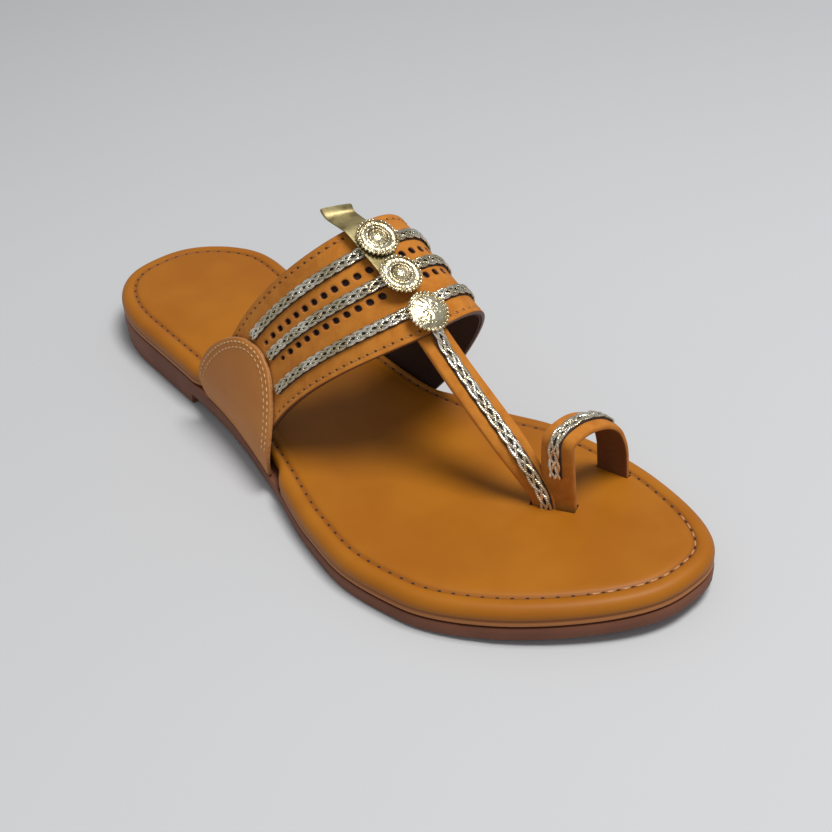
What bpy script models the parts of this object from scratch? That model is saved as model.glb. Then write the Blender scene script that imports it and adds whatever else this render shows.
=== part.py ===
"""Kolhapuri sandal for the right foot: a flat leather sandal with an instep band, a T-strap and a big-toe loop.

Metres, +Z up, +Y towards the toe, +X to the outer (lateral) side of the foot.
The origin lies on the floor under the middle of the heel.
"""
import functools
import math
from collections import namedtuple

import bmesh
import bpy
import numpy as np
from mathutils import Matrix, Vector

# Sole
SOLE_LENGTH = 0.250
BALL_WIDTH = 0.0892
HEEL_REACH = 0.030           # from the back of the heel to the origin
SHEET_THICKNESS = 0.0044     # the outsole under the ball and the toes
SHANK_SWELL = 0.0018         # how much thicker the sheet is where it meets the heel
HEEL_LIFT = 0.0059           # how much higher the outsole's top lies at the heel than under the ball
TOE_SPRING = 0.0040
HEEL_SHARE = 0.270           # length of the heel block, as a share of the sole's
CLIMB_SHARES = (0.22, 0.62)  # between these the sole climbs from the ball to the heel
SWELL_SHARES = (0.27, 0.52)  # and between these its sheet thins
SPRING_SHARE = 0.70          # from here on it lifts towards the toe
BREAST_SHARE = 0.003         # length of the step in front of it
FOOTBED_THICKNESS = 0.0068
GROOVE_INSET = 0.0054        # from the footbed's side to its stitched groove
GROOVE_DEPTH = 0.0007
GROOVE_BANK = 0.0026         # from the groove's floor in to the level footbed
GAP = 0.0003                 # clearance between two pieces that lie on each other

# Straps
WALL = 0.0021                # nubuck with its lining
FOOT_WALL = 0.0012           # where the band is pared thin beside the footbed
PARE_START = 0.010           # height at which the paring starts
PARE_END = 0.022
FOOT_STAND = 0.0005          # how far the band's outer face stands outside the footbed's side
FOOT_TUCK = 0.0024           # how far each foot of the band leans in under that side
FOOT_TUCK_RISE = 0.0140      # height over which it leans
RECESS_MARGIN = 0.0060       # the footbed's side gives way this far before and behind a foot of the band
BAND_EASE = 0.012            # the band's edges are rounded over this share of its width
EDGE_FACE = 0.3              # and over this share of its wall
CROWN_SIDE = 0.0070          # the band's crown lies this far to the outer side
CROWN_BACK_HEIGHT = 0.0797
CROWN_FRONT_HEIGHT = 0.0599
STRAP_WIDTH = 0.0100
LOOP_WIDTH = 0.0105
LOOP_HEIGHT = 0.0267         # above the footbed
LOOP_SPAN = 0.0246           # between the outer faces of its two legs
STRAP_EASE = 0.25            # the toe straps' corners are eased by this share of their wall
EMBED = 0.0006               # how deep one strap runs into the other where they are joined
HOLE_RADIUS = 0.00103
HOLE_DEPTH = 0.0014          # the holes end on the lining
HOLE_PITCH = 0.0040
HOLE_MARGIN = 0.0012         # leather left between the last hole and the flap

# Trim
EAR_WALL = 0.0014
EAR_HEIGHT = 0.0434
EAR_TOP = 0.998              # the flap's last row of points, as a share of its height
EAR_TUCK_RISE = 0.45         # share of its height below which its two edges run in again
BRAID_WIDTH = 0.0038
BRAID_HEIGHT = 0.0016
BRAID_MARGIN = 0.0015        # between a braid's end and the flap
BRAID_LOOP_START = 0.36      # the loop's braid comes out from under the T-strap at this share of its height
DISC_RADIUS = 0.0064
DISC_RIM = 0.0008
DISC_DOME = 0.0011
DISC_LIFT = 0.0036           # over the band, for the discs that lie on the gold strip
STRIP_WIDTH = 0.0086
STRIP_THICKNESS = 0.0007
STRIP_LIFT = 0.0023
STRIP_SLANT = 0.0022         # how far its loose end is cut on the slant

# Half widths of the sole on each side of the foot's line, as shares of the ball's width.
SoleRow = namedtuple("SoleRow", "along medial lateral")
SOLE_OUTLINE = [
    SoleRow(0.00, 0.311, 0.327),
    SoleRow(0.10, 0.346, 0.334),
    SoleRow(0.22, 0.300, 0.361),
    SoleRow(0.36, 0.244, 0.400),
    SoleRow(0.50, 0.232, 0.487),
    SoleRow(0.62, 0.288, 0.588),
    SoleRow(0.70, 0.365, 0.624),
    SoleRow(0.78, 0.385, 0.598),
    SoleRow(0.86, 0.385, 0.519),
    SoleRow(1.00, 0.397, 0.295),
]

# The heel and toe are rounded over these shares of the length.
END_ROUND = {"heel": (0.145, 0.40), "toe": (0.212, 0.39)}

# Sides of the two sole pieces: how far in, as a share of their thickness, and how high.
EdgeRow = namedtuple("EdgeRow", "inset height")
OUTSOLE_EDGE = [EdgeRow(0.16, 0.0), EdgeRow(0.03, 0.12), EdgeRow(0.0, 0.45), EdgeRow(0.03, 1.0)]
FOOTBED_EDGE = [
    EdgeRow(0.17, 0.0),
    EdgeRow(0.03, 0.22),
    EdgeRow(0.0, 0.46),
    EdgeRow(0.07, 0.74),
    EdgeRow(0.23, 0.93),
    EdgeRow(0.42, 1.0),
    EdgeRow(0.64, 0.97),
]

# One half of the instep band: where its foot stands, as shares of the sole's length, and how square its
# section is sideways and upwards. The sweep bends it from the foot forward to the crown.
BandHalf = namedtuple("BandHalf", "sign foot_back foot_front out up sweep")
LATERAL = BandHalf(1, 0.358, 0.482, 1.96, 1.78, 1.93)
MEDIAL = BandHalf(-1, 0.428, 0.512, 3.40, 4.60, 0.85)
CROWN_BACK = 0.522
CROWN_FRONT = 0.660

# A flap over each foot of the band, as seen from the side: a half oval whose top lies at a share of the
# sole's length, with its reach to the heel and to the toe, how full each half is, and how far its foot
# runs in again as a share of that reach.
Ear = namedtuple("Ear", "half top back front back_fullness front_fullness tuck")
EARS = {
    "ear_lateral": Ear(LATERAL, 0.432, 0.124, 0.080, 1.7, 2.5, 0.16),
    "ear_medial": Ear(MEDIAL, 0.444, 0.104, 0.076, 1.8, 2.4, 0.08),
}

BRAID_LINES = {"braid_back": 0.22, "braid_middle": 0.49, "braid_front": 0.79}

# Lines of punched holes: share of the band's width from its back edge, and first hole from the crown.
HoleRow = namedtuple("HoleRow", "line start")
HOLE_ROWS = [HoleRow(0.360, 0.0040), HoleRow(0.585, 0.0060)]

# The T-strap from the band's front to its slot: shares of the way forward, sideways, down and of its
# twist, and how much of its inner half is left, because that half narrows to the slot.
StrapRow = namedtuple("StrapRow", "forward aside drop twist inner")
STRAP_ROWS = [
    StrapRow(0.000, 0.00, 0.000, 0.00, 1.00),
    StrapRow(0.230, 0.19, 0.205, 0.06, 1.00),
    StrapRow(0.450, 0.44, 0.405, 0.20, 1.00),
    StrapRow(0.670, 0.60, 0.575, 0.42, 0.92),
    StrapRow(0.860, 0.82, 0.760, 0.78, 0.66),
    StrapRow(0.985, 0.99, 0.930, 1.00, 0.44),
    StrapRow(1.000, 1.00, 1.000, 1.00, 0.42),
]
SLOT_ALONG = 0.8150          # where the toe loop's inner leg stands, as a share of the sole's length
SLOT_SIDE = -0.0003
SLOT_TURN = math.radians(-65.0)
STRAP_SETBACK = 0.0026       # the T-strap's foot stands this far behind the loop's leg in their slot

# The toe loop: shares of its span and height, and how far it turns from straight across to the slot's line.
LoopRow = namedtuple("LoopRow", "across height turn")
LOOP_ROWS = [
    LoopRow(0.000, 0.00, 1.00),
    LoopRow(-0.020, 0.30, 0.80),
    LoopRow(-0.045, 0.82, 0.35),
    LoopRow(0.050, 0.970, 0.15),
    LoopRow(0.300, 1.000, 0.06),
    LoopRow(0.640, 0.900, 0.27),
    LoopRow(0.865, 0.690, 0.33),
    LoopRow(0.985, 0.330, 0.33),
    LoopRow(1.000, 0.00, 0.33),
]

# Half profiles of the discs as pressed: share of the radius, and rise over the rim as a share of the dome.
PressRow = namedtuple("PressRow", "radius rise")
BOSSED = [
    PressRow(0.0, 1.0),
    PressRow(0.22, 1.0),
    PressRow(0.34, 0.64),
    PressRow(0.46, 0.55),
    PressRow(0.56, 0.91),
    PressRow(0.74, 0.25),
]
HAMMERED = [PressRow(0.0, 1.0), PressRow(0.30, 0.92), PressRow(0.56, 0.68), PressRow(0.74, 0.25)]

# The rim that every disc has below them: shares of its radius and of its rim's height.
LIP = [PressRow(0.88, 1.0), PressRow(1.0, 0.7), PressRow(1.0, 0.2), PressRow(0.88, 0.0), PressRow(0.0, 0.0)]

# The discs stand on the crown: share of its length, distance from its line to the outer side, height as
# a share of DISC_LIFT and tilt towards the toe.
DiscRow = namedtuple("DiscRow", "along aside lift tilt press")
DISCS = {
    "disc_back": DiscRow(0.212, -0.0019, 1.0, 0.0, BOSSED),
    "disc_middle": DiscRow(0.544, 0.0, 1.0, 0.0, BOSSED),
    "disc_front": DiscRow(0.873, 0.0, 0.61, math.radians(8.0), HAMMERED),
}

# The gold strip under the discs, whose loose end lies nearly level behind them: share of the crown's
# length, and height as a share of STRIP_LIFT.
StripRow = namedtuple("StripRow", "along height")
STRIP_ROWS = [
    StripRow(-0.220, 0.05),
    StripRow(-0.150, -0.30),
    StripRow(-0.060, 0.17),
    StripRow(0.000, 0.61),
    StripRow(0.050, 0.91),
    StripRow(0.150, 1.0),
    StripRow(0.400, 1.0),
    StripRow(0.620, 1.0),
]

SOLE_STATIONS = 40
BAND_STEPS = 22
BAND_ROWS = 6
EAR_STEPS = 9
EAR_COLUMNS = 12
BRAID_STEPS = 16
STRIP_STATIONS = 16
STRAP_STATIONS = 22
LOOP_STATIONS = 26
LINE_STEPS = 200            # fine steps in which distances along the band are measured


def smooth_column(rows, name, places):
    """Reads one column of a table at the places given, on a smooth curve through its rows."""
    xs = np.array([row[0] for row in rows], float)
    ys = np.array([getattr(row, name) for row in rows], float)
    return hermite(xs, ys, np.asarray(places, float))


def read_rows(rows, name, count):
    """Reads one column of a table at evenly spaced places from its first row to its last."""
    ys = np.array([getattr(row, name) for row in rows], float)
    return hermite(np.arange(len(rows), dtype=float), ys, np.linspace(0.0, len(rows) - 1.0, count))


def hermite(xs, ys, x):
    """Monotone cubic curve through (xs, ys), read at x."""
    step = np.diff(xs)
    slope = np.diff(ys) / step
    tangent = np.zeros(len(xs))
    for i in range(1, len(xs) - 1):
        if slope[i - 1] * slope[i] > 0:
            before = 2 * step[i] + step[i - 1]
            after = step[i] + 2 * step[i - 1]
            tangent[i] = (before + after) / (before / slope[i - 1] + after / slope[i])
    tangent[0] = slope[0]
    tangent[-1] = slope[-1]
    i = np.clip(np.searchsorted(xs, x) - 1, 0, len(xs) - 2)
    t = (x - xs[i]) / step[i]
    start = ys[i] * (1 + 2 * t) * (1 - t) ** 2 + tangent[i] * step[i] * t * (1 - t) ** 2
    end = ys[i + 1] * t * t * (3 - 2 * t) - tangent[i + 1] * step[i] * t * t * (1 - t)
    return start + end


def smoothstep(t):
    t = min(max(t, 0.0), 1.0)
    return t * t * (3 - 2 * t)


def mix(a, b, t):
    return a + (b - a) * t


def ramp(share, between):
    """Falls evenly from 1 to 0 between two shares of the length."""
    first, last = between
    return (last - share) / (last - first)


def along(share):
    """Y at a share of the sole's length from the back of the heel."""
    return share * SOLE_LENGTH - HEEL_REACH


def share_of(y):
    return (y + HEEL_REACH) / SOLE_LENGTH


def end_round(share):
    """Narrows the outline to a round end at the heel and at the toe."""
    reach, power = END_ROUND["heel"]
    if share < reach:
        return max(1 - (1 - share / reach) ** 2, 0.0) ** power
    reach, power = END_ROUND["toe"]
    if share > 1 - reach:
        return max(1 - (1 - (1 - share) / reach) ** 2, 0.0) ** power
    return 1.0


@functools.lru_cache(maxsize=None)
def sole_edge(y, sign):
    """X of the footbed's side at y: sign is 1 for the outer side of the foot and -1 for the inner."""
    share = min(max(share_of(y), 0.0), 1.0)
    medial = float(smooth_column(SOLE_OUTLINE, "medial", share)) * BALL_WIDTH
    lateral = float(smooth_column(SOLE_OUTLINE, "lateral", share)) * BALL_WIDTH
    return (lateral - medial) / 2 + sign * (lateral + medial) / 2 * end_round(share)


def outsole_top(y):
    """The sheet lies level under the ball, climbs to the heel and lifts at the toe."""
    share = share_of(y)
    climb = smoothstep(ramp(share, CLIMB_SHARES))
    spring = max((share - SPRING_SHARE) / (1 - SPRING_SHARE), 0.0) ** 2
    return SHEET_THICKNESS + HEEL_LIFT * climb + TOE_SPRING * spring


def outsole_bottom(y):
    """The heel block stands on the floor, and the sheet in front of it thins towards the ball."""
    share = share_of(y)
    if share < HEEL_SHARE:
        return 0.0
    swell = smoothstep(ramp(share, SWELL_SHARES))
    return outsole_top(y) - SHEET_THICKNESS - SHANK_SWELL * swell


def footbed_bottom(y):
    return outsole_top(y) + GAP


def footbed_top(y):
    return footbed_bottom(y) + FOOTBED_THICKNESS


def sole_shares():
    """Stations along the sole, closer at the ends, with a pair at the heel's breast."""
    shares = [(1 - math.cos(math.pi * i / SOLE_STATIONS)) / 2 for i in range(SOLE_STATIONS + 1)]
    shares = [share for share in shares if abs(share - HEEL_SHARE) > 2 * BREAST_SHARE]
    return sorted(shares + [HEEL_SHARE - BREAST_SHARE / 4, HEEL_SHARE + BREAST_SHARE])


def sole_loop():
    """The sole's outline as one loop: up the outer side from the heel and back down the inner side."""
    shares = sole_shares()
    lateral = [(sole_edge(along(s), 1), along(s)) for s in shares]
    medial = [(sole_edge(along(s), -1), along(s)) for s in shares[1:-1]]
    return [Vector(p) for p in lateral + medial[::-1]]


def foot_tuck(rise):
    """How far the band leans in at a height above its foot."""
    return FOOT_TUCK * max(1 - rise / FOOT_TUCK_RISE, 0.0) ** 2


def window(y, start, end, margins):
    """1 between two places and beyond them by all but the last of some margins, which falls to 0."""
    before = (y - start) / RECESS_MARGIN + margins
    after = (end - y) / RECESS_MARGIN + margins
    return smoothstep(before) * smoothstep(after)


def strap_recess(x, y, rise):
    """The footbed's side gives way by this much where a foot of the band lies on it."""
    ear = EARS["ear_lateral" if x > 0 else "ear_medial"]
    wall = FOOT_WALL + 2 * GAP - FOOT_STAND / 2
    under_band = window(y, along(ear.half.foot_back), along(ear.half.foot_front), 2)
    under_flap = window(y, along(ear.top - ear.back), along(ear.top + ear.front), 1)
    return wall * under_band + foot_tuck(rise) * max(under_band, under_flap)


def sole_ring(inset, height, recess=None):
    """The sole's outline moved in by inset, at the height that a function of y gives. Recess is the height
    above the footbed's underside at which it gives way to the band, between its side and its groove."""
    loop = sole_loop()
    ring = []
    for i, point in enumerate(loop):
        run = loop[(i + 1) % len(loop)] - loop[i - 1]
        outward = Vector((run.y, -run.x)).normalized()
        depth = inset
        if recess is not None:
            depth += strap_recess(point.x, point.y, recess) * max(1 - inset / GROOVE_INSET, 0.0)
        place = point - outward * depth
        ring.append(Vector((place.x, place.y, height(point.y))))
    return ring


def add_cap(mesh, ring, tip):
    """Closes a ring with strips between its two sides. A ring with a tip starts on a point of its own."""
    count = len(ring)
    for i in range(count // 2 + 1):
        across = [-i, -i - 1] if tip else [-i - 1, -i - 2]
        corners = [ring[i], ring[(i + 1) % count], ring[across[1] % count], ring[across[0] % count]]
        face = list(dict.fromkeys(corners))
        if len(face) > 2 and mesh.faces.get(face) is None:
            mesh.faces.new(face)
        if len(face) < 4 and i > 0:
            break
        if not tip and i + 2 >= count - i - 2:
            break


def loft(name, rings, tip=False):
    """A closed solid through rings with equal numbers of points, capped at both ends."""
    mesh = bmesh.new()
    rows = [[mesh.verts.new(point) for point in ring] for ring in rings]
    for low, high in zip(rows, rows[1:]):
        for i in range(len(low)):
            j = (i + 1) % len(low)
            mesh.faces.new((low[i], low[j], high[j], high[i]))
    add_cap(mesh, rows[0], tip)
    add_cap(mesh, rows[-1], tip)
    bmesh.ops.recalc_face_normals(mesh, faces=mesh.faces)
    data = bpy.data.meshes.new(name)
    mesh.to_mesh(data)
    mesh.free()
    return bpy.data.objects.new(name, data)


def band_surface(s, v):
    """A point on the band's outer face: s runs from -1 at the inner foot over the crown to 1 at the outer
    foot, and v from its back edge to its front edge."""
    half = LATERAL if s >= 0 else MEDIAL
    turn = min(abs(s), 1.0) * math.pi / 2
    out = math.sin(turn) ** (2 / half.out)
    up = max(math.cos(turn), 0.0) ** (2 / half.up)
    foot_y = along(mix(half.foot_back, half.foot_front, v))
    crown_y = along(mix(CROWN_BACK, CROWN_FRONT, v))
    crown_z = mix(CROWN_BACK_HEIGHT, CROWN_FRONT_HEIGHT, v)
    foot_z = footbed_bottom(foot_y)
    foot_x = sole_edge(foot_y, half.sign) + half.sign * FOOT_STAND
    rise = (crown_z - foot_z) * up
    x = CROWN_SIDE + (foot_x - CROWN_SIDE) * out - half.sign * foot_tuck(rise)
    y = foot_y + (crown_y - foot_y) * up ** half.sweep
    return Vector((x, y, foot_z + rise))


def band_normal(s, v):
    step = 0.02
    run = band_surface(min(s + step, 1.0), v) - band_surface(max(s - step, -1.0), v)
    width = band_surface(s, v + step) - band_surface(s, v - step)
    return run.cross(width).normalized()


def band_point(s, v, height=0.0):
    """A point at a height over the band's outer face."""
    return band_surface(s, v) + band_normal(s, v) * height


def band_wall(s):
    """The wall is pared thin in the lowest part of each foot."""
    rise = band_surface(s, 0.5).z - footbed_bottom(0.0)
    return mix(FOOT_WALL, WALL, smoothstep((rise - PARE_START) / (PARE_END - PARE_START)))


@functools.lru_cache(maxsize=None)
def band_line(sign, v):
    """The s of points along one half of the band, and their distances from the crown."""
    places = [sign * i / LINE_STEPS for i in range(LINE_STEPS + 1)]
    points = [band_surface(s, v) for s in places]
    steps = [(b - a).length for a, b in zip(points, points[1:])]
    return places, np.cumsum([0.0] + steps)


def place_at(distance, sign, v):
    """The s that lies at a distance from the crown along the band's surface."""
    places, length = band_line(sign, v)
    return float(np.interp(distance, length, places))


def even_places(medial, lateral, count, v):
    """Places between two distances from the crown, evenly spaced on each half of the line at v."""
    inner = [place_at(medial * (1 - i / count), -1, v) for i in range(count)]
    outer = [place_at(lateral * i / count, 1, v) for i in range(count + 1)]
    return inner + outer


def band_sections():
    """Closed sections across the band, from its inner foot to its outer foot."""
    rows = [BAND_EASE + (1 - 2 * BAND_EASE) * i / BAND_ROWS for i in range(BAND_ROWS + 1)]
    places = even_places(band_line(-1, 0.5)[1][-1], band_line(1, 0.5)[1][-1], BAND_STEPS, 0.5)
    rings = []
    for s in places:
        wall = band_wall(s)
        shallow = -EDGE_FACE * wall
        deep = (EDGE_FACE - 1) * wall
        ring = [band_point(s, 0.0, shallow)]
        ring += [band_point(s, v) for v in rows]
        ring += [band_point(s, 1.0, shallow), band_point(s, 1.0, deep)]
        ring += [band_point(s, v, -wall) for v in reversed(rows)]
        ring += [band_point(s, 0.0, deep)]
        if s in (places[0], places[-1]):
            for point in ring:
                point.z = footbed_bottom(point.y)
        rings.append(ring)
    return rings


def ear_half_width(ear, rise, way):
    """How far the flap reaches from its top's line at a share of its height."""
    reach, fullness = (ear.front, ear.front_fullness) if way > 0 else (ear.back, ear.back_fullness)
    tuck = 1 - ear.tuck * max(1 - rise / EAR_TUCK_RISE, 0.0) ** 2
    return way * tuck * reach * SOLE_LENGTH * max(1 - rise ** fullness, 0.0) ** (1 / fullness)


def band_coordinates(half, y, z):
    """The s and v of the point that lies at y and z on one half of the band, also past its edges."""
    v = 0.5
    up = 0.0
    for _ in range(40):
        foot_y = along(mix(half.foot_back, half.foot_front, v))
        foot_z = footbed_bottom(foot_y)
        crown_z = mix(CROWN_BACK_HEIGHT, CROWN_FRONT_HEIGHT, v)
        up = min(max((z - foot_z) / (crown_z - foot_z), 0.0), 1.0)
        lift = up ** half.sweep
        back = mix(along(half.foot_back), along(CROWN_BACK), lift)
        front = mix(along(half.foot_front), along(CROWN_FRONT), lift)
        v = mix(v, (y - back) / (front - back), 0.6)
    turn = math.acos(min(up ** (half.up / 2), 1.0))
    return half.sign * turn / (math.pi / 2), v


def ear_solid(name, ear):
    """A flap that follows the band's outer face, thick by EAR_WALL."""
    rises = [math.sin(math.pi / 2 * i / EAR_STEPS) for i in range(EAR_STEPS)] + [EAR_TOP]
    rings = []
    top_y = along(ear.top)
    for rise in rises:
        inner = []
        outer = []
        for i in range(EAR_COLUMNS + 1):
            side = 2 * i / EAR_COLUMNS - 1
            way = 1 if side > 0 else -1
            y = top_y + abs(side) * ear_half_width(ear, rise, way)
            z = mix(footbed_bottom(y), EAR_HEIGHT, rise)
            s, v = band_coordinates(ear.half, y, z)
            inner.append(band_point(s, v, GAP))
            outer.append(band_point(s, v, GAP + EAR_WALL))
        if rise == 0.0:
            for point in inner + outer:
                point.z = footbed_bottom(point.y)
        rings.append(inner + outer[::-1])
    return loft(name, rings)


def inside_ear(ear, point, margin=0.0):
    """Whether a point of the band lies under its flap, or nearer than a margin to it."""
    rise = (point.z - margin - footbed_bottom(point.y)) / (EAR_HEIGHT - footbed_bottom(point.y))
    if rise >= 1:
        return False
    way = 1 if point.y > along(ear.top) else -1
    reach = abs(ear_half_width(ear, max(rise, 0.0), way)) + margin
    return abs(point.y - along(ear.top)) < reach


def ear_limit(ear, v, margin):
    """The distance from the crown at which a line along the band comes within a margin of its flap."""
    places, lengths = band_line(ear.half.sign, v)
    for s, length in zip(places, lengths):
        if inside_ear(ear, band_surface(s, v), margin):
            return float(length)
    return float(lengths[-1])


def half_round(width, height):
    """A braid's section: flat below and round above, as pairs of across and height."""
    shape = [(-1.0, 0.0), (-0.86, 0.55), (-0.42, 1.0), (0.42, 1.0), (0.86, 0.55), (1.0, 0.0)]
    return [(width / 2 * a, GAP + height * h) for a, h in shape]


def band_width(s, v):
    """The band's width at s, measured about v."""
    reach = 0.05
    return (band_surface(s, v + reach) - band_surface(s, v - reach)).length / (2 * reach)


def band_braid(name, v):
    """A braid across the band, from flap to flap."""
    reach = BRAID_WIDTH / 2 + BRAID_MARGIN
    medial = ear_limit(EARS["ear_medial"], v, reach)
    lateral = ear_limit(EARS["ear_lateral"], v, reach)
    section = half_round(BRAID_WIDTH, BRAID_HEIGHT)
    rings = []
    for s in even_places(medial, lateral, BRAID_STEPS, v):
        width = band_width(s, v)
        rings.append([band_point(s, v + a / width, h) for a, h in section])
    return loft(name, rings)


def hole_places():
    """The punched holes: an s and a v for each."""
    places = []
    for row in HOLE_ROWS:
        for ear in EARS.values():
            limit = ear_limit(ear, row.line, HOLE_RADIUS + HOLE_MARGIN)
            for distance in np.arange(row.start, limit, HOLE_PITCH):
                places.append((place_at(distance, ear.half.sign, row.line), row.line))
    return places


def hole_cutter():
    """All punches as one mesh of short cylinders that stand square to the band."""
    mesh = bmesh.new()
    for s, v in hole_places():
        turn = band_normal(s, v).to_track_quat("Z", "Y").to_matrix().to_4x4()
        bmesh.ops.create_cone(
            mesh, cap_ends=True, segments=8, radius1=HOLE_RADIUS, radius2=HOLE_RADIUS, depth=2 * HOLE_DEPTH,
            matrix=Matrix.Translation(band_surface(s, v)) @ turn)
    data = bpy.data.meshes.new("punches")
    mesh.to_mesh(data)
    mesh.free()
    return bpy.data.objects.new("punches", data)


def strap_section(width, wall):
    """A strap's section with eased corners, as pairs of across and height under its outer face."""
    ease = STRAP_EASE * wall
    half = width / 2
    return [
        (-half + ease, 0.0), (half - ease, 0.0), (half, -ease), (half, ease - wall),
        (half - ease, -wall), (-half + ease, -wall), (-half, ease - wall), (-half, -ease)]


def slot_frame():
    """The middle of the toe straps' slot and the way along it, from its front to its back."""
    middle = Vector((SLOT_SIDE, along(SLOT_ALONG), 0.0))
    return middle, Vector((math.cos(SLOT_TURN), math.sin(SLOT_TURN), 0.0))


def ribbon_frames(points, ways):
    """Frames along a strap: its point, the way across it and the way out of its outer face."""
    frames = []
    for i, point in enumerate(points):
        run = (points[min(i + 1, len(points) - 1)] - points[max(i - 1, 0)]).normalized()
        across = (ways[i] - run * ways[i].dot(run)).normalized()
        frames.append((point, across, across.cross(run)))
    return frames


def to_floor(point):
    """The point straight below another one, on the footbed's underside."""
    return Vector((point.x, point.y, footbed_bottom(point.y)))


def strap_frames():
    """The T-strap's frames, from under the band down into the slot."""
    head = band_point(0.0, 0.94, EMBED - WALL)
    middle, slot_way = slot_frame()
    foot = middle + slot_way * STRAP_SETBACK
    foot.z = footbed_top(foot.y)
    turn = math.atan2(slot_way.y, slot_way.x)
    columns = [read_rows(STRAP_ROWS, name, STRAP_STATIONS) for name in ("forward", "aside", "drop", "twist")]
    points = []
    ways = []
    for forward, aside, drop, twist in zip(*columns):
        points.append(Vector((
            mix(head.x, foot.x, aside), mix(head.y, foot.y, forward), mix(head.z, foot.z, drop))))
        ways.append(Vector((math.cos(turn * twist), math.sin(turn * twist), 0.0)))
    points = [band_point(0.0, 0.74, EMBED - WALL)] + points + [to_floor(points[-1])]
    return ribbon_frames(points, [ways[0]] + ways + [ways[-1]])


def strap_inner():
    """How much of the T-strap's inner half is left at each of its frames."""
    inner = list(read_rows(STRAP_ROWS, "inner", STRAP_STATIONS))
    return [inner[0]] + inner + [inner[-1]]


def loop_frames():
    """The toe loop's frames, up from the slot, over the big toe and down its inner side."""
    middle, slot_way = slot_frame()
    out_of_slot = Vector((-slot_way.y, slot_way.x, 0.0))
    start = middle - out_of_slot * (WALL - EMBED)
    base = footbed_top(start.y)
    columns = [read_rows(LOOP_ROWS, name, LOOP_STATIONS) for name in ("across", "height", "turn")]
    points = []
    ways = []
    for across, height, turn in zip(*columns):
        points.append(Vector((start.x - across * LOOP_SPAN, start.y, base + height * LOOP_HEIGHT)))
        ways.append(Vector((turn * slot_way.x / slot_way.y, 1.0, 0.0)).normalized())
    points = [to_floor(points[0])] + points + [to_floor(points[-1])]
    return ribbon_frames(points, [ways[0]] + ways + [ways[-1]])


def ribbon(name, frames, section, inner=None):
    """A strap through its frames. Inner gives the share that is left of its inner half at each of them."""
    inner = inner or [1.0] * len(frames)
    rings = [
        [point + across * (a * left if a < 0 else a) + out * h for a, h in section]
        for (point, across, out), left in zip(frames, inner)]
    return loft(name, rings)


def above_footbed(frames, clearance):
    """The frames of a toe strap that lie clear above the footbed."""
    return [f for f in frames if f[0].z > footbed_top(f[0].y) + clearance]


def level_end(obj):
    """Sets the lowest corners of a toe strap just above the outsole."""
    for vertex in obj.data.vertices:
        floor = footbed_bottom(vertex.co.y)
        if vertex.co.z < floor + 2 * GAP:
            vertex.co.z = floor
    return obj


def join_straps(target, other):
    """Stitches one strap to another: the two solids become one."""
    union = target.modifiers.new("joined", "BOOLEAN")
    union.operation = "UNION"
    union.object = other


def cut(target, cutter):
    difference = target.modifiers.new("cut", "BOOLEAN")
    difference.operation = "DIFFERENCE"
    difference.object = cutter


def slot_cutter(name, middle, way, length, width):
    """A square-cornered punch through the footbed."""
    side = Vector((-way.y, way.x, 0.0))
    rings = []
    for z in (0.0, 2 * footbed_top(0.0)):
        corners = [(-1, -1), (1, -1), (1, 1), (-1, 1)]
        rings.append([
            Vector((middle.x, middle.y, z)) + way * (a * length / 2) + side * (b * width / 2)
            for a, b in corners])
    return loft(name, rings)


def disc(name, row):
    """A pressed disc, turned from its profile and set on the band's crown."""
    profile = [(press.radius, DISC_RIM + press.rise * DISC_DOME) for press in row.press]
    profile += [(lip.radius, lip.rise * DISC_RIM) for lip in LIP]
    data = bpy.data.meshes.new(name)
    verts = [(r * DISC_RADIUS, 0.0, z) for r, z in profile]
    data.from_pydata(verts, [(i, i + 1) for i in range(len(verts) - 1)], [])
    obj = bpy.data.objects.new(name, data)
    screw = obj.modifiers.new("turn", "SCREW")
    screw.steps = 20
    screw.render_steps = 20
    screw.use_merge_vertices = True
    screw.merge_threshold = 0.00001
    point = band_point(0.0, row.along, row.lift * DISC_LIFT)
    upright = band_normal(0.0, row.along).to_track_quat("Z", "X").to_matrix().to_4x4()
    point.x += row.aside
    obj.matrix_world = Matrix.Translation(point) @ Matrix.Rotation(-row.tilt, 4, "X") @ upright
    return obj


def gold_strip(name):
    """The strip that carries the two rear discs; its loose end reaches out behind them."""
    places = np.linspace(STRIP_ROWS[0].along, STRIP_ROWS[-1].along, STRIP_STATIONS)
    heights = smooth_column(STRIP_ROWS, "height", places) * STRIP_LIFT
    half = STRIP_WIDTH / 2
    section = [(-half, 0.0), (half, 0.0), (half, STRIP_THICKNESS), (-half, STRIP_THICKNESS)]
    rings = []
    for v, height in zip(places, heights):
        middle = band_point(0.0, float(v), float(height))
        out = band_normal(0.0, float(v))
        slant = STRIP_SLANT / half if v == places[0] else 0.0
        rings.append([middle + Vector((a, -slant * a, 0.0)) + out * rise for a, rise in section])
    return loft(name, rings)


def outsole():
    """The moulded sheet and heel."""
    rings = []
    for row in OUTSOLE_EDGE:

        def height(y, share=row.height):
            return mix(outsole_bottom(y), outsole_top(y), share)
        rings.append(sole_ring(row.inset * SHEET_THICKNESS, height))
    return loft("outsole", rings, tip=True)


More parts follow.
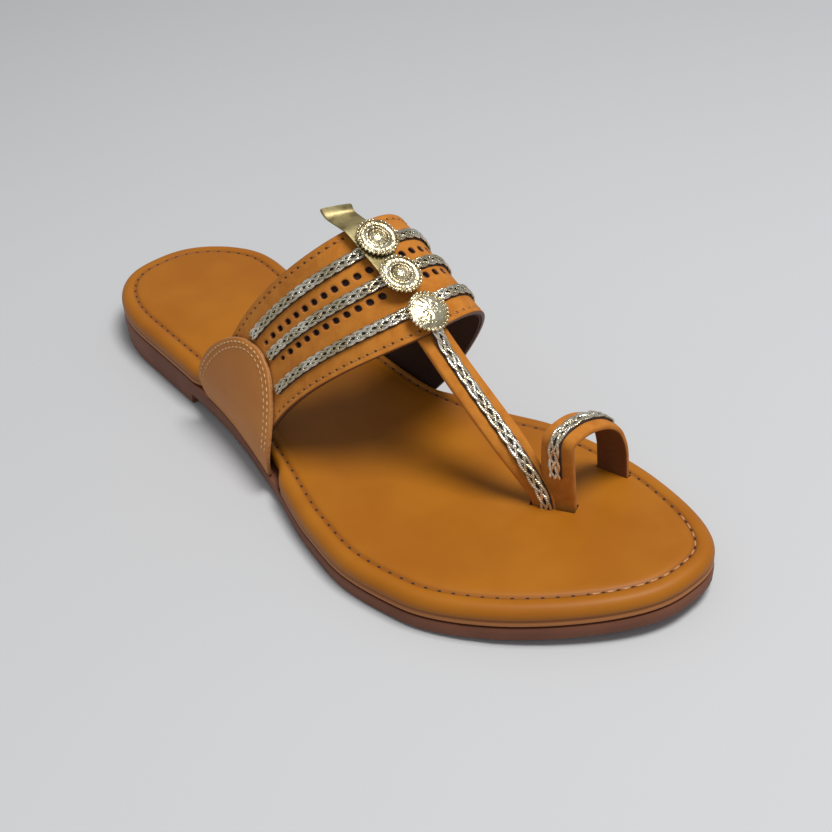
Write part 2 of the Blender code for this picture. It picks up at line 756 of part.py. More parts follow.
def footbed():
    """The wrapped insole with its rolled rim and stitched groove."""
    rows = [(row.inset * FOOTBED_THICKNESS, row.height * FOOTBED_THICKNESS) for row in FOOTBED_EDGE]
    rows += [
        (GROOVE_INSET, FOOTBED_THICKNESS - GROOVE_DEPTH),
        (GROOVE_INSET + 0.35 * GROOVE_BANK, FOOTBED_THICKNESS - 0.3 * GROOVE_DEPTH),
        (GROOVE_INSET + GROOVE_BANK, FOOTBED_THICKNESS)]
    rings = []
    for inset, rise in rows:

        def height(y, over=rise):
            return footbed_bottom(y) + over
        rings.append(sole_ring(inset, height, recess=rise))
    return loft("footbed", rings, tip=True)


def material(name, colour, roughness, metallic=0.0):
    finish = bpy.data.materials.new(name)
    finish.use_nodes = True
    shader = finish.node_tree.nodes["Principled BSDF"]
    shader.inputs["Base Color"].default_value = (*colour, 1.0)
    shader.inputs["Roughness"].default_value = roughness
    shader.inputs["Metallic"].default_value = metallic
    return finish


def collection(name):
    group = bpy.data.collections.new(name)
    bpy.context.scene.collection.children.link(group)
    return group


def finish_piece(obj, group, look):
    obj.data.materials.append(look)
    obj.data.shade_smooth()
    obj.data.set_sharp_from_angle(angle=math.radians(40))
    group.objects.link(obj)


def as_cutter(obj, group):
    group.objects.link(obj)
    obj.hide_render = True
    obj.display_type = "WIRE"
    return obj


def build():
    for old in list(bpy.data.objects):
        bpy.data.objects.remove(old, do_unlink=True)
    sandal = collection("kolhapuri_sandal")
    cutters = collection("cutters")
    leather = material("smooth_tan_leather", (0.43, 0.17, 0.03), 0.45)
    nubuck = material("tan_nubuck", (0.48, 0.18, 0.04), 0.8)
    rubber = material("red_brown_rubber", (0.14, 0.05, 0.035), 0.6)
    braid = material("metallic_braid", (0.45, 0.38, 0.25), 0.4, 0.8)
    gold = material("pale_gold", (0.75, 0.62, 0.35), 0.3, 1.0)

    finish_piece(outsole(), sandal, rubber)

    bed = footbed()
    loop_line = loop_frames()
    middle, slot_way = slot_frame()
    out_of_slot = Vector((-slot_way.y, slot_way.x, 0.0))
    inner = middle - out_of_slot * (WALL - EMBED / 2) + slot_way * (STRAP_SETBACK / 2)
    slot_length = max(LOOP_WIDTH, STRAP_WIDTH) + STRAP_SETBACK + 4 * GAP
    slot_depth = 2 * WALL - EMBED + 4 * GAP
    cut(bed, as_cutter(slot_cutter("toe_slot", inner, slot_way, slot_length, slot_depth), cutters))
    point, across, out = loop_line[-1]
    outer = point - out * (WALL / 2)
    cut(bed, as_cutter(slot_cutter("loop_slot", outer, across, LOOP_WIDTH + 2 * GAP, WALL + 2 * GAP), cutters))
    finish_piece(bed, sandal, leather)

    upper = loft("upper", band_sections())
    strap_line = strap_frames()
    strap = level_end(ribbon("t_strap", strap_line, strap_section(STRAP_WIDTH, WALL), strap_inner()))
    loop = level_end(ribbon("toe_loop", loop_line, strap_section(LOOP_WIDTH, WALL)))
    join_straps(upper, as_cutter(strap, cutters))
    join_straps(upper, as_cutter(loop, cutters))
    cut(upper, as_cutter(hole_cutter(), cutters))
    finish_piece(upper, sandal, nubuck)

    for name, ear in EARS.items():
        finish_piece(ear_solid(name, ear), sandal, leather)
    for name, v in BRAID_LINES.items():
        finish_piece(band_braid(name, v), sandal, braid)
    braid_section = half_round(BRAID_WIDTH, BRAID_HEIGHT)
    front_edge = band_point(0.0, 1.0).y + BRAID_HEIGHT
    strap_run = [f for f in above_footbed(strap_line, BRAID_HEIGHT) if f[0].y > front_edge]
    finish_piece(ribbon("braid_strap", strap_run, braid_section), sandal, braid)
    low = above_footbed(loop_line, BRAID_HEIGHT)
    high = above_footbed(loop_line, LOOP_HEIGHT * BRAID_LOOP_START)
    loop_run = [f for f in low if f in high or f[0].x < middle.x - LOOP_SPAN / 2]
    finish_piece(ribbon("braid_loop", loop_run, braid_section), sandal, braid)
    for name, row in DISCS.items():
        finish_piece(disc(name, row), sandal, gold)
    finish_piece(gold_strip("gold_tab"), sandal, gold)


build()
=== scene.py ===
# %% [markdown]
# A kolhapuri sandal, dressed for its picture.
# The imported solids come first, as a fixed frame. Each visible piece is then modelled in its place: the
# padded footbed, the rubber sole, the punched band, the toe straps, the flaps, the braids and the discs.
# Everything is in metres, with +Y towards the toe, +X to the outer side of the foot and +Z up.

# %% load the frame
import functools
import math
from collections import namedtuple

import bmesh
import bpy
import numpy as np
from mathutils import Matrix, Vector


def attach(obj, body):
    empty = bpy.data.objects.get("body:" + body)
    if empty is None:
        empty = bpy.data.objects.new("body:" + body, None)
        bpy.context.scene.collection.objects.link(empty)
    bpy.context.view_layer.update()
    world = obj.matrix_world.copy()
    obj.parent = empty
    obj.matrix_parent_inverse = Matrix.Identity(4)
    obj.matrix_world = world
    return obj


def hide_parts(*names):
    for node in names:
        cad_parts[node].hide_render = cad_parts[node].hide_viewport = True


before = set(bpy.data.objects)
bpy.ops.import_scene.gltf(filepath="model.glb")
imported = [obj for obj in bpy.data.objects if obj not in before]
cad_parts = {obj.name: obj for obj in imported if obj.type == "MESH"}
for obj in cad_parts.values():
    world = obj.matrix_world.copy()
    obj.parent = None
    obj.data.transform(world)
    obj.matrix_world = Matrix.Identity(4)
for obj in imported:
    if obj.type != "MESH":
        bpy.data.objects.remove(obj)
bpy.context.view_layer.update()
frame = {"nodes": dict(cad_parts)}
print("nodes:", sorted(frame["nodes"]))

# %% [markdown]
# The camera stands where the photographer stood: in front of the toe, on the outer side, looking down by
# about a third of a right angle. It is aimed at the middle of this one shoe, and keeps its slight roll.

# %% camera
IMAGE = 832
FOCAL_PIXELS = 1400.0
CAMERA_TURN = math.radians(135.73)
CAMERA_RISE = math.radians(33.58)
CAMERA_ROLL = math.radians(-1.5)
CAMERA_TARGET = Vector((-0.0627, 0.0910, 0.0))
CAMERA_DISTANCE = 0.4906
SHOE_PIXEL = (326.0, 484.0)       # the shoe's middle in the photographer's frame

back = Vector((
    math.sin(CAMERA_TURN) * math.cos(CAMERA_RISE), -math.cos(CAMERA_TURN) * math.cos(CAMERA_RISE),
    math.sin(CAMERA_RISE)))
right = Vector((-back.y, back.x, 0.0)).normalized()
level_up = back.cross(right)
across_image = right * math.cos(CAMERA_ROLL) + level_up * math.sin(CAMERA_ROLL)
up_image = level_up * math.cos(CAMERA_ROLL) - right * math.sin(CAMERA_ROLL)
sight = (
    across_image * (SHOE_PIXEL[0] - IMAGE / 2) - up_image * (SHOE_PIXEL[1] - IMAGE / 2)
    - back * FOCAL_PIXELS).normalized()
camera_x = (across_image - sight * across_image.dot(sight)).normalized()
camera_y = (-sight).cross(camera_x)
turn = Matrix((camera_x, camera_y, -sight)).transposed()

bpy.ops.object.camera_add()
camera = bpy.context.active_object
camera.data.lens = FOCAL_PIXELS / IMAGE * camera.data.sensor_width
camera.data.clip_start = 0.01
camera.matrix_world = Matrix.Translation(CAMERA_TARGET + back * CAMERA_DISTANCE) @ turn.to_4x4()
bpy.context.scene.camera = camera
print("camera at", [round(v, 4) for v in camera.matrix_world.translation])

# %% [markdown]
# Shapes are made with Blender's own tools, as by hand. These helpers select one object, choose faces or
# edges by their place, and apply a modifier, because an operator acts on whatever is selected.

# %% helpers for operators


def only(*objects):
    """Selects just these objects and makes the last one active."""
    bpy.ops.object.select_all(action="DESELECT")
    for obj in objects:
        obj.select_set(True)
    bpy.context.view_layer.objects.active = objects[-1]


def edit(obj, kind="FACE"):
    only(obj)
    bpy.ops.object.mode_set(mode="EDIT")
    bpy.ops.mesh.select_mode(type=kind)
    bpy.ops.mesh.select_all(action="DESELECT")


def leave():
    bpy.ops.object.mode_set(mode="OBJECT")


def pick_faces(obj, test):
    """Selects the faces whose middle passes the test."""
    mesh = bmesh.from_edit_mesh(obj.data)
    for face in mesh.faces:
        face.select_set(bool(test(face.calc_center_median())))
    bmesh.update_edit_mesh(obj.data)


def pick_edges(obj, test):
    """Selects the edges whose two ends pass the test together."""
    mesh = bmesh.from_edit_mesh(obj.data)
    for edge in mesh.edges:
        edge.select_set(bool(test(edge.verts[0].co, edge.verts[1].co)))
    bmesh.update_edit_mesh(obj.data)


def modify(obj, kind, **settings):
    """Adds a modifier and applies it at once."""
    only(obj)
    modifier = obj.modifiers.new(kind.title(), kind)
    for name, value in settings.items():
        setattr(modifier, name, value)
    bpy.ops.object.modifier_apply(modifier=modifier.name)


def smooth(obj, levels, angle=40.0):
    if levels:
        modify(obj, "SUBSURF", levels=levels, render_levels=levels, uv_smooth="NONE")
    only(obj)
    bpy.ops.object.shade_smooth_by_angle(angle=math.radians(angle))


def new_sheet(name, columns, rows):
    """A flat square sheet from -1 to 1, as many cells across and along as asked."""
    bpy.ops.mesh.primitive_grid_add(x_subdivisions=columns, y_subdivisions=rows, size=2)
    obj = bpy.context.active_object
    obj.name = name
    obj.data.name = name
    return obj


def lay(obj, place):
    """Puts every point of a piece where its pattern's place lies on the sandal."""
    for vertex in obj.data.vertices:
        vertex.co = place(vertex.co.copy())
    obj.data.update()


def face_outwards(obj):
    edit(obj)
    bpy.ops.mesh.select_all(action="SELECT")
    bpy.ops.mesh.normals_make_consistent(inside=False)
    leave()


def make_slots(obj, count):
    """Empty finish slots, so that a wall's inside and edge can be told apart when it is made."""
    for _ in range(count):
        obj.data.materials.append(None)


def wear(obj, *finishes):
    for i, finish in enumerate(finishes):
        if i < len(obj.data.materials):
            obj.data.materials[i] = finish
        else:
            obj.data.materials.append(finish)


def flat_uv(obj, pair=lambda point: (point.x, point.y)):
    """Keeps each point's place in the flat pattern, in metres, or another pair, as its texture place."""
    layer = obj.data.uv_layers.get("pattern") or obj.data.uv_layers.new(name="pattern")
    for loop in obj.data.loops:
        layer.data[loop.index].uv = pair(obj.data.vertices[loop.vertex_index].co)
    layer.active_render = True
    obj.data.uv_layers.active = layer


def join(name, pieces):
    only(*pieces)
    bpy.ops.object.join()
    whole = bpy.context.active_object
    whole.name = name
    whole.data.name = name
    return whole


def copies(name, model, places):
    """One object made of a copy of the model for every place, which is a matrix."""
    made = []
    for place in places:
        twin = bpy.data.objects.new(name, model.data.copy())
        bpy.context.scene.collection.objects.link(twin)
        twin.data.transform(place)
        made.append(twin)
    bpy.data.objects.remove(model, do_unlink=True)
    return join(name, made)


print("helpers ready")

# %% [markdown]
# The sole's plan is read from the same short table as the solids: half widths on each side of the foot's
# line, as shares of the ball's width. A smooth curve through the rows gives every place between them.

# %% sizes of the sole
SOLE_LENGTH = 0.250
BALL_WIDTH = 0.0892
HEEL_REACH = 0.030
SHEET_THICKNESS = 0.0044
SHANK_SWELL = 0.0018
HEEL_LIFT = 0.0059
TOE_SPRING = 0.0040
HEEL_SHARE = 0.270
CLIMB_SHARES = (0.22, 0.62)
SWELL_SHARES = (0.27, 0.52)
SPRING_SHARE = 0.70
FOOTBED_THICKNESS = 0.0068
GROOVE_INSET = 0.0054
GAP = 0.0003

SoleRow = namedtuple("SoleRow", "along medial lateral")
SOLE_OUTLINE = [
    SoleRow(0.00, 0.311, 0.327),
    SoleRow(0.10, 0.346, 0.334),
    SoleRow(0.22, 0.300, 0.361),
    SoleRow(0.36, 0.244, 0.400),
    SoleRow(0.50, 0.232, 0.487),
    SoleRow(0.62, 0.288, 0.588),
    SoleRow(0.70, 0.365, 0.624),
    SoleRow(0.78, 0.385, 0.598),
    SoleRow(0.86, 0.385, 0.519),
    SoleRow(1.00, 0.397, 0.295),
]
END_ROUND = {"heel": (0.145, 0.40), "toe": (0.212, 0.39)}


def mix(a, b, t):
    return a + (b - a) * t


def smoothstep(t):
    t = min(max(t, 0.0), 1.0)
    return t * t * (3 - 2 * t)


def curve_through(xs, ys, x):
    """Monotone cubic curve through (xs, ys), read at x."""
    xs = np.asarray(xs, float)
    ys = np.asarray(ys, float)
    step = np.diff(xs)
    slope = np.diff(ys) / step
    tangent = np.zeros(len(xs))
    for i in range(1, len(xs) - 1):
        if slope[i - 1] * slope[i] > 0:
            before = 2 * step[i] + step[i - 1]
            after = step[i] + 2 * step[i - 1]
            tangent[i] = (before + after) / (before / slope[i - 1] + after / slope[i])
    tangent[0] = slope[0]
    tangent[-1] = slope[-1]
    i = np.clip(np.searchsorted(xs, x) - 1, 0, len(xs) - 2)
    t = (x - xs[i]) / step[i]
    start = ys[i] * (1 + 2 * t) * (1 - t) ** 2 + tangent[i] * step[i] * t * (1 - t) ** 2
    end = ys[i + 1] * t * t * (3 - 2 * t) - tangent[i + 1] * step[i] * t * t * (1 - t)
    return start + end


def column(rows, name):
    return [getattr(row, name) for row in rows]


def along(share):
    return share * SOLE_LENGTH - HEEL_REACH


def share_of(y):
    return (y + HEEL_REACH) / SOLE_LENGTH


def end_round(share):
    reach, power = END_ROUND["heel"]
    if share < reach:
        return max(1 - (1 - share / reach) ** 2, 0.0) ** power
    reach, power = END_ROUND["toe"]
    if share > 1 - reach:
        return max(1 - (1 - (1 - share) / reach) ** 2, 0.0) ** power
    return 1.0


@functools.lru_cache(maxsize=None)
def sole_edge(y, sign):
    """X of the footbed's side at y, on the outer side for 1 and on the inner for -1."""
    share = min(max(share_of(y), 0.0), 1.0)
    places = column(SOLE_OUTLINE, "along")
    medial = float(curve_through(places, column(SOLE_OUTLINE, "medial"), share)) * BALL_WIDTH
    lateral = float(curve_through(places, column(SOLE_OUTLINE, "lateral"), share)) * BALL_WIDTH
    return (lateral - medial) / 2 + sign * (lateral + medial) / 2 * end_round(share)


def ramp(share, between):
    """Falls evenly from 1 to 0 between two shares of the length."""
    first, last = between
    return (last - share) / (last - first)


def outsole_top(y):
    share = share_of(y)
    climb = smoothstep(ramp(share, CLIMB_SHARES))
    spring = max((share - SPRING_SHARE) / (1 - SPRING_SHARE), 0.0) ** 2
    return SHEET_THICKNESS + HEEL_LIFT * climb + TOE_SPRING * spring


def outsole_bottom(y):
    share = share_of(y)
    if share < HEEL_SHARE:
        return 0.0
    return outsole_top(y) - SHEET_THICKNESS - SHANK_SWELL * smoothstep(ramp(share, SWELL_SHARES))


def footbed_bottom(y):
    return outsole_top(y) + GAP


def footbed_top(y):
    return footbed_bottom(y) + FOOTBED_THICKNESS


print("sole is", SOLE_LENGTH, "long and", round(sole_edge(0.155, 1) - sole_edge(0.155, -1), 4), "wide")

# %% [markdown]
# Both sole pieces start as a square sheet. Pushing a square's sides out to a circle and the circle out to
# the sole's outline keeps every cell four-sided, without a pole at the heel or the toe. The sheet is
# extruded, its sides are cut into rings, and each ring gets its own inset and height.

# %% from a square sheet to the sole's plan


def round_off(u, v):
    """Moves a point of the square to the round disc."""
    return u * math.sqrt(1 - v * v / 2), v * math.sqrt(1 - u * u / 2)


def rim_point(angle):
    run = math.sin(angle)
    y = along((1 + run) / 2)
    return Vector((sole_edge(y, 1 if math.cos(angle) >= 0 else -1), y))


def rim_outward(angle):
    run = rim_point(angle + 0.02) - rim_point(angle - 0.02)
    return Vector((run.y, -run.x)).normalized()


def plan_place(u, v, inset):
    """The plan place of a point of the square sheet, drawn in from the outline by an inset."""
    side, run = round_off(u, v)
    breadth = math.sqrt(max(1 - run * run, 0.0))
    fraction = min(max(side / breadth, -1.0), 1.0) if breadth > 1e-5 else 0.0
    y = along((1 + min(max(run, -1.0), 1.0)) / 2)
    x = mix(sole_edge(y, -1), sole_edge(y, 1), (1 + fraction) / 2)
    radius = math.hypot(side, run)
    if radius < 1e-6:
        return Vector((x, y))
    return Vector((x, y)) - rim_outward(math.atan2(run, side)) * inset * radius ** 4


def layered_sheet(name, columns, rows, layers):
    """A square sheet made thick, with its sides cut into rings. A point's height is its ring's number."""
    obj = new_sheet(name, columns, rows)
    edit(obj)
    bpy.ops.mesh.select_all(action="SELECT")
    bpy.ops.mesh.extrude_region_move(TRANSFORM_OT_translate={"value": (0, 0, layers - 1)})
    bpy.ops.mesh.select_mode(type="EDGE")
    pick_edges(obj, lambda a, b: abs(a.z - b.z) > 0.5)
    bpy.ops.mesh.subdivide(number_cuts=layers - 2)
    leave()
    face_outwards(obj)
    return obj


print("toe at", [round(v, 4) for v in rim_point(math.pi / 2)])

# %% [markdown]
# The footbed is a board wrapped in padded leather. Its rim rolls over the side, a stitched groove runs
# about 5 mm inside it, and the middle swells a little. Where a foot of the band comes down between
# footbed and flap, the side gives way for it.

# %% footbed
GROOVE_HEIGHT = 0.0060
Ring = namedtuple("Ring", "inset height")
FOOTBED_RINGS = [
    Ring(0.0040, 0.0000),
    Ring(0.0007, 0.0000),
    Ring(0.0001, 0.0005),
    Ring(0.0000, 0.0013),
    Ring(0.0005, 0.0020),
    Ring(0.0001, 0.0027),
    Ring(0.0000, 0.0037),
    Ring(0.0004, 0.0050),
    Ring(0.0013, 0.0061),
    Ring(0.0025, 0.0067),
    Ring(0.0038, 0.0067),
    Ring(0.0048, 0.0064),
    Ring(0.0052, GROOVE_HEIGHT),
    Ring(0.0057, GROOVE_HEIGHT),
    Ring(0.0062, 0.0065),
    Ring(0.0071, 0.0068),
    Ring(0.0085, 0.0069),
]
CREASE_HEIGHT = 0.0020
PAD_SWELL = 0.0006
PAD_SLOPE = 2.5
RIM_TO_MIDDLE = 0.04
FOOT_WALL = 0.0012
FOOT_STAND = 0.0005
FOOT_TUCK = 0.0024
FOOT_TUCK_RISE = 0.0140
RECESS_MARGIN = 0.0060

BandHalf = namedtuple("BandHalf", "sign foot_back foot_front out up sweep")
LATERAL = BandHalf(1, 0.358, 0.482, 1.96, 1.78, 1.93)
MEDIAL = BandHalf(-1, 0.428, 0.512, 3.40, 4.60, 0.85)

Ear = namedtuple("Ear", "half top back front back_fullness front_fullness tuck")
EARS = {
    "ear_lateral": Ear(LATERAL, 0.432, 0.124, 0.080, 1.7, 2.5, 0.16),
    "ear_medial": Ear(MEDIAL, 0.444, 0.104, 0.076, 1.8, 2.4, 0.08),
}


def foot_tuck(rise):
    """How far the band leans in at a height above its foot."""
    return FOOT_TUCK * max(1 - rise / FOOT_TUCK_RISE, 0.0) ** 2


def window(y, start, end, margins):
    """1 between two places and beyond them by all but the last of some margins, which falls to 0."""
    before = (y - start) / RECESS_MARGIN + margins
    after = (end - y) / RECESS_MARGIN + margins
    return smoothstep(before) * smoothstep(after)


def strap_recess(x, y, rise):
    """How far the footbed's side gives way for a foot of the band and its flap."""
    ear = EARS["ear_lateral" if x > 0 else "ear_medial"]
    wall = FOOT_WALL + 2 * GAP - FOOT_STAND / 2
    under_band = window(y, along(ear.half.foot_back), along(ear.half.foot_front), 2)
    under_flap = window(y, along(ear.top - ear.back), along(ear.top + ear.front), 1)
    return wall * under_band + foot_tuck(rise) * max(under_band, under_flap)


def ring_value(rings, name, point):
    """A column of a table of rings at a point of the layered sheet."""
    return float(np.interp(point.z, range(len(rings)), column(rings, name)))


def footbed_ring(point):
    """The inset and height of a point's ring, and how far out in the sheet it lies."""
    inset, height = (ring_value(FOOTBED_RINGS, name, point) for name in Ring._fields)
    return inset, height, math.hypot(*round_off(point.x, point.y))


def footbed_place(point):
    inset, height, radius = footbed_ring(point)
    place = plan_place(point.x, point.y, inset)
    side, run = round_off(point.x, point.y)
    recess = strap_recess(place.x, place.y, height) * max(1 - inset / GROOVE_INSET, 0.0) * radius ** 4
    if recess > 0:
        place -= rim_outward(math.atan2(run, side)) * recess
    if point.z > len(FOOTBED_RINGS) - 1.5:
        height += PAD_SWELL * smoothstep((1 - radius) * PAD_SLOPE)
    return Vector((place.x, place.y, footbed_bottom(place.y) + height))


def footbed_uv(point):
    """The height over the footbed's underside and the distance in from its side."""
    inset, height, radius = footbed_ring(point)
    return height, inset + (1 - radius) * RIM_TO_MIDDLE


footbed = layered_sheet("padded_footbed", 30, 84, len(FOOTBED_RINGS))
flat_uv(footbed, footbed_uv)
lay(footbed, footbed_place)
smooth(footbed, 1, 60)
print("footbed faces:", len(footbed.data.polygons))

# %% [markdown]
# The outsole is one moulded rubber sheet with a low heel block. After the sheet has the sole's outline it
# is cut across twice at the heel's breast, so that the step there is short and straight.

# %% outsole
OUTSOLE_RINGS = [
    Ring(0.0030, 0.00),
    Ring(0.0012, 0.00),
    Ring(0.0004, 0.04),
    Ring(0.0001, 0.12),
    Ring(0.0000, 0.45),
    Ring(0.0000, 0.88),
    Ring(0.0003, 1.00),
    Ring(0.0026, 1.00),
]
BREAST_LENGTH = 0.0008


def outsole_plan(point):
    place = plan_place(point.x, point.y, ring_value(OUTSOLE_RINGS, "inset", point))
    return Vector((place.x, place.y, point.z))


def outsole_place(point):
    share = ring_value(OUTSOLE_RINGS, "height", point)
    return Vector((point.x, point.y, mix(outsole_bottom(point.y), outsole_top(point.y), share)))


outsole = layered_sheet("rubber_outsole", 24, 70, len(OUTSOLE_RINGS))
lay(outsole, outsole_plan)
edit(outsole)
for step in (-BREAST_LENGTH / 4, BREAST_LENGTH):
    bpy.ops.mesh.select_all(action="SELECT")
    bpy.ops.mesh.bisect(plane_co=(0, along(HEEL_SHARE) + step, 0), plane_no=(0, 1, 0))
leave()
lay(outsole, outsole_place)
smooth(outsole, 0, 35)
print("outsole faces:", len(outsole.data.polygons))

# %% [markdown]
# The band goes over the instep. One function gives every point of its outer face: s runs from the inner
# foot over the crown to the outer foot, and v from the band's back edge to its front edge. The flaps,
# braids and discs use the same function at a height over it, so they follow the leather.

# %% the band's surface
WALL = 0.0021
CROWN_SIDE = 0.0070
CROWN_BACK = 0.522
CROWN_FRONT = 0.660
CROWN_BACK_HEIGHT = 0.0797
CROWN_FRONT_HEIGHT = 0.0599
PARING_START = 0.010
PARING_LENGTH = 0.012


@functools.lru_cache(maxsize=None)
def band_rows(sign, v):
    """The foot and crown places that one line across the band runs between."""
    half = LATERAL if sign > 0 else MEDIAL
    foot_y = along(mix(half.foot_back, half.foot_front, v))
    foot = Vector((sole_edge(foot_y, half.sign) + half.sign * FOOT_STAND, foot_y, footbed_bottom(foot_y)))
    height = mix(CROWN_BACK_HEIGHT, CROWN_FRONT_HEIGHT, v)
    crown = Vector((CROWN_SIDE, along(mix(CROWN_BACK, CROWN_FRONT, v)), height))
    return half, foot, crown


def band_surface(s, v):
    half, foot, crown = band_rows(1 if s >= 0 else -1, v)
    angle = min(abs(s), 1.0) * math.pi / 2
    out = math.sin(angle) ** (2 / half.out)
    up = max(math.cos(angle), 0.0) ** (2 / half.up)
    rise = (crown.z - foot.z) * up
    x = mix(crown.x, foot.x, out) - half.sign * foot_tuck(rise)
    return Vector((x, mix(foot.y, crown.y, up ** half.sweep), foot.z + rise))


def band_normal(s, v):
    step = 0.02
    run = band_surface(min(s + step, 1.0), v) - band_surface(max(s - step, -1.0), v)
    width = band_surface(s, v + step) - band_surface(s, v - step)
    return run.cross(width).normalized()


def band_point(s, v, height=0.0):
    return band_surface(s, v) + band_normal(s, v) * height


def band_wall(s):
    """The band's thickness, which is pared towards its feet."""
    rise = band_surface(s, 0.5).z - footbed_bottom(0.0)
    return mix(FOOT_WALL, WALL, smoothstep((rise - PARING_START) / PARING_LENGTH))


@functools.lru_cache(maxsize=None)
def band_line(sign, v):
    """Places along one half of the band, with their distances from the crown."""
    places = [sign * i / 200 for i in range(201)]
    points = [band_surface(s, v) for s in places]
    steps = [(b - a).length for a, b in zip(points, points[1:])]
    return places, np.cumsum([0.0] + steps)


def place_at(distance, v):
    """The s at a distance from the crown: positive to the outer side."""
    places, length = band_line(1 if distance >= 0 else -1, v)
    return float(np.interp(abs(distance), length, places))


BAND_WIDTH = (band_surface(0.0, 1.0) - band_surface(0.0, 0.0)).length
print("band is", round(BAND_WIDTH, 4), "wide at the crown")

# %% [markdown]
# A flap of smooth leather covers each foot of the band. From the side it is a half oval. The braids and
# the punched rows stop at it, so its shape is needed before theirs.

# %% the flaps' shape
EAR_WALL = 0.0014
EAR_HEIGHT = 0.0434
EAR_TUCK_RISE = 0.45


def ear_tuck(ear, rise):
    """The flap's two edges run in again towards its foot."""
    return 1 - ear.tuck * max(1 - rise / EAR_TUCK_RISE, 0.0) ** 2


def ear_reach(ear, rise, way):
    reach, fullness = (ear.front, ear.front_fullness) if way > 0 else (ear.back, ear.back_fullness)
    return ear_tuck(ear, rise) * reach * SOLE_LENGTH * max(1 - rise ** fullness, 0.0) ** (1 / fullness)


def inside_ear(ear, point, margin):
    """Whether a point of the band lies under its flap, or nearer than a margin to it."""
    rise = (point.z - margin - footbed_bottom(point.y)) / (EAR_HEIGHT - footbed_bottom(point.y))
    if rise >= 1:
        return False
    way = 1 if point.y > along(ear.top) else -1
    return abs(point.y - along(ear.top)) < ear_reach(ear, max(rise, 0.0), way) + margin


def ear_limit(ear, v, margin):
    """The distance from the crown at which a line along the band meets its flap."""
    places, lengths = band_line(ear.half.sign, v)
    for s, length in zip(places, lengths):
        if inside_ear(ear, band_surface(s, v), margin):
            return float(length)
    return float(lengths[-1])


def band_coordinates(half, y, z):
    """The s and v of the point at y and z on one half of the band, also past its edges."""
    v = 0.5
    up = 0.0
    for _ in range(40):
        foot_y = along(mix(half.foot_back, half.foot_front, v))
        foot_z = footbed_bottom(foot_y)
        crown_z = mix(CROWN_BACK_HEIGHT, CROWN_FRONT_HEIGHT, v)
        up = min(max((z - foot_z) / (crown_z - foot_z), 0.0), 1.0)
        lift = up ** half.sweep
        rear = mix(along(half.foot_back), along(CROWN_BACK), lift)
        front = mix(along(half.foot_front), along(CROWN_FRONT), lift)
        v = mix(v, (y - rear) / (front - rear), 0.6)
    angle = math.acos(min(up ** (half.up / 2), 1.0))
    return half.sign * angle / (math.pi / 2), v


print("flap reaches", round(EARS["ear_lateral"].back * SOLE_LENGTH, 4), "towards the heel")

# %% [markdown]
# The band's leather is cut flat, as a maker cuts it: a sheet of small cells, with single cells taken out
# where the punch goes through. Solidify gives it its wall and smoothing makes the square cells round
# holes. A second sheet, without holes, is its dark lining. Both flat patterns are laid over the last
# before the smoothing, so few points have to be placed.

# %% the flat pattern of the band
CELL = 0.0020
HoleRow = namedtuple("HoleRow", "line start")
HOLE_ROWS = [HoleRow(0.360, 0.0040), HoleRow(0.585, 0.0060)]
HOLE_PITCH = 0.0040
HOLE_SPREAD = 1.10
LAST_HOLE_SPREAD = 0.75
HOLE_MARGIN = 0.0022
STITCH_LINES = (0.048, 0.952)
ROW_LINES = [
    0.0, 0.024, 0.048, 0.072, 0.125, 0.175, 0.225, 0.28, 0.3347, 0.3853, 0.435, 0.485, 0.525, 0.5597, 0.6103,
    0.665, 0.725, 0.785, 0.84, 0.89, 0.928, 0.952, 0.976, 1.0]
LATERAL_REACH = band_line(1, 0.5)[1][-1]
MEDIAL_REACH = band_line(-1, 0.5)[1][-1]
LATERAL_CELLS = round(LATERAL_REACH / CELL)
MEDIAL_CELLS = round(MEDIAL_REACH / CELL)
STEADY = {1: 0.048, -1: 0.036}     # up to here a pattern distance is the true one along each line


def hole_distances(row):
    """Distances of one row's holes from the crown, signed, and whether each is a last, smaller one."""
    holes = []
    for ear in EARS.values():
        distances = np.arange(row.start, ear_limit(ear, row.line, HOLE_MARGIN), HOLE_PITCH)
        holes += [(ear.half.sign * float(d), d == distances[-1]) for d in distances]
    return holes


def pattern_place(distance, v):
    """The s for a distance on the pattern, stretched near the feet so that every line ends at its foot."""
    sign = 1 if distance >= 0 else -1
    reach = ((LATERAL_CELLS if sign > 0 else MEDIAL_CELLS) + 0.5) * CELL
    blend = smoothstep((abs(distance) - STEADY[sign]) / (reach - STEADY[sign]))
    return place_at(distance * mix(1.0, band_line(sign, v)[1][-1] / reach, blend), v)


band_holes = [(d, row.line, last) for row in HOLE_ROWS for d, last in hole_distances(row)]
print("punched holes:", len(band_holes))

# %% cut the band
cells = MEDIAL_CELLS + LATERAL_CELLS + 1
band = new_sheet("punched_band", cells, len(ROW_LINES) - 1)


def cell_distance(point):
    """The distance from the crown, on the pattern, of a point of the square sheet."""
    return ((point.x + 1) / 2 * cells - MEDIAL_CELLS - 0.5) * CELL


def band_flat(point):
    row = round((point.y + 1) / 2 * (len(ROW_LINES) - 1))
    return Vector((cell_distance(point), (ROW_LINES[row] - 0.5) * BAND_WIDTH, 0.0))


def spread_holes(point):
    for distance, v, last in band_holes:
        middle = Vector((distance, (v - 0.5) * BAND_WIDTH, 0.0))
        if (point - middle).length < 0.8 * CELL:
            return middle + (point - middle) * (LAST_HOLE_SPREAD if last else HOLE_SPREAD)
    return point


def is_hole(point):
    return any(
        abs(point.x - d) < CELL / 3 and abs(point.y - (v - 0.5) * BAND_WIDTH) < CELL / 3
        for d, v, last in band_holes)


lay(band, band_flat)
edit(band)
pick_faces(band, is_hole)
bpy.ops.mesh.delete(type="FACE")
leave()
lay(band, spread_holes)
print("band cells left:", len(band.data.polygons))

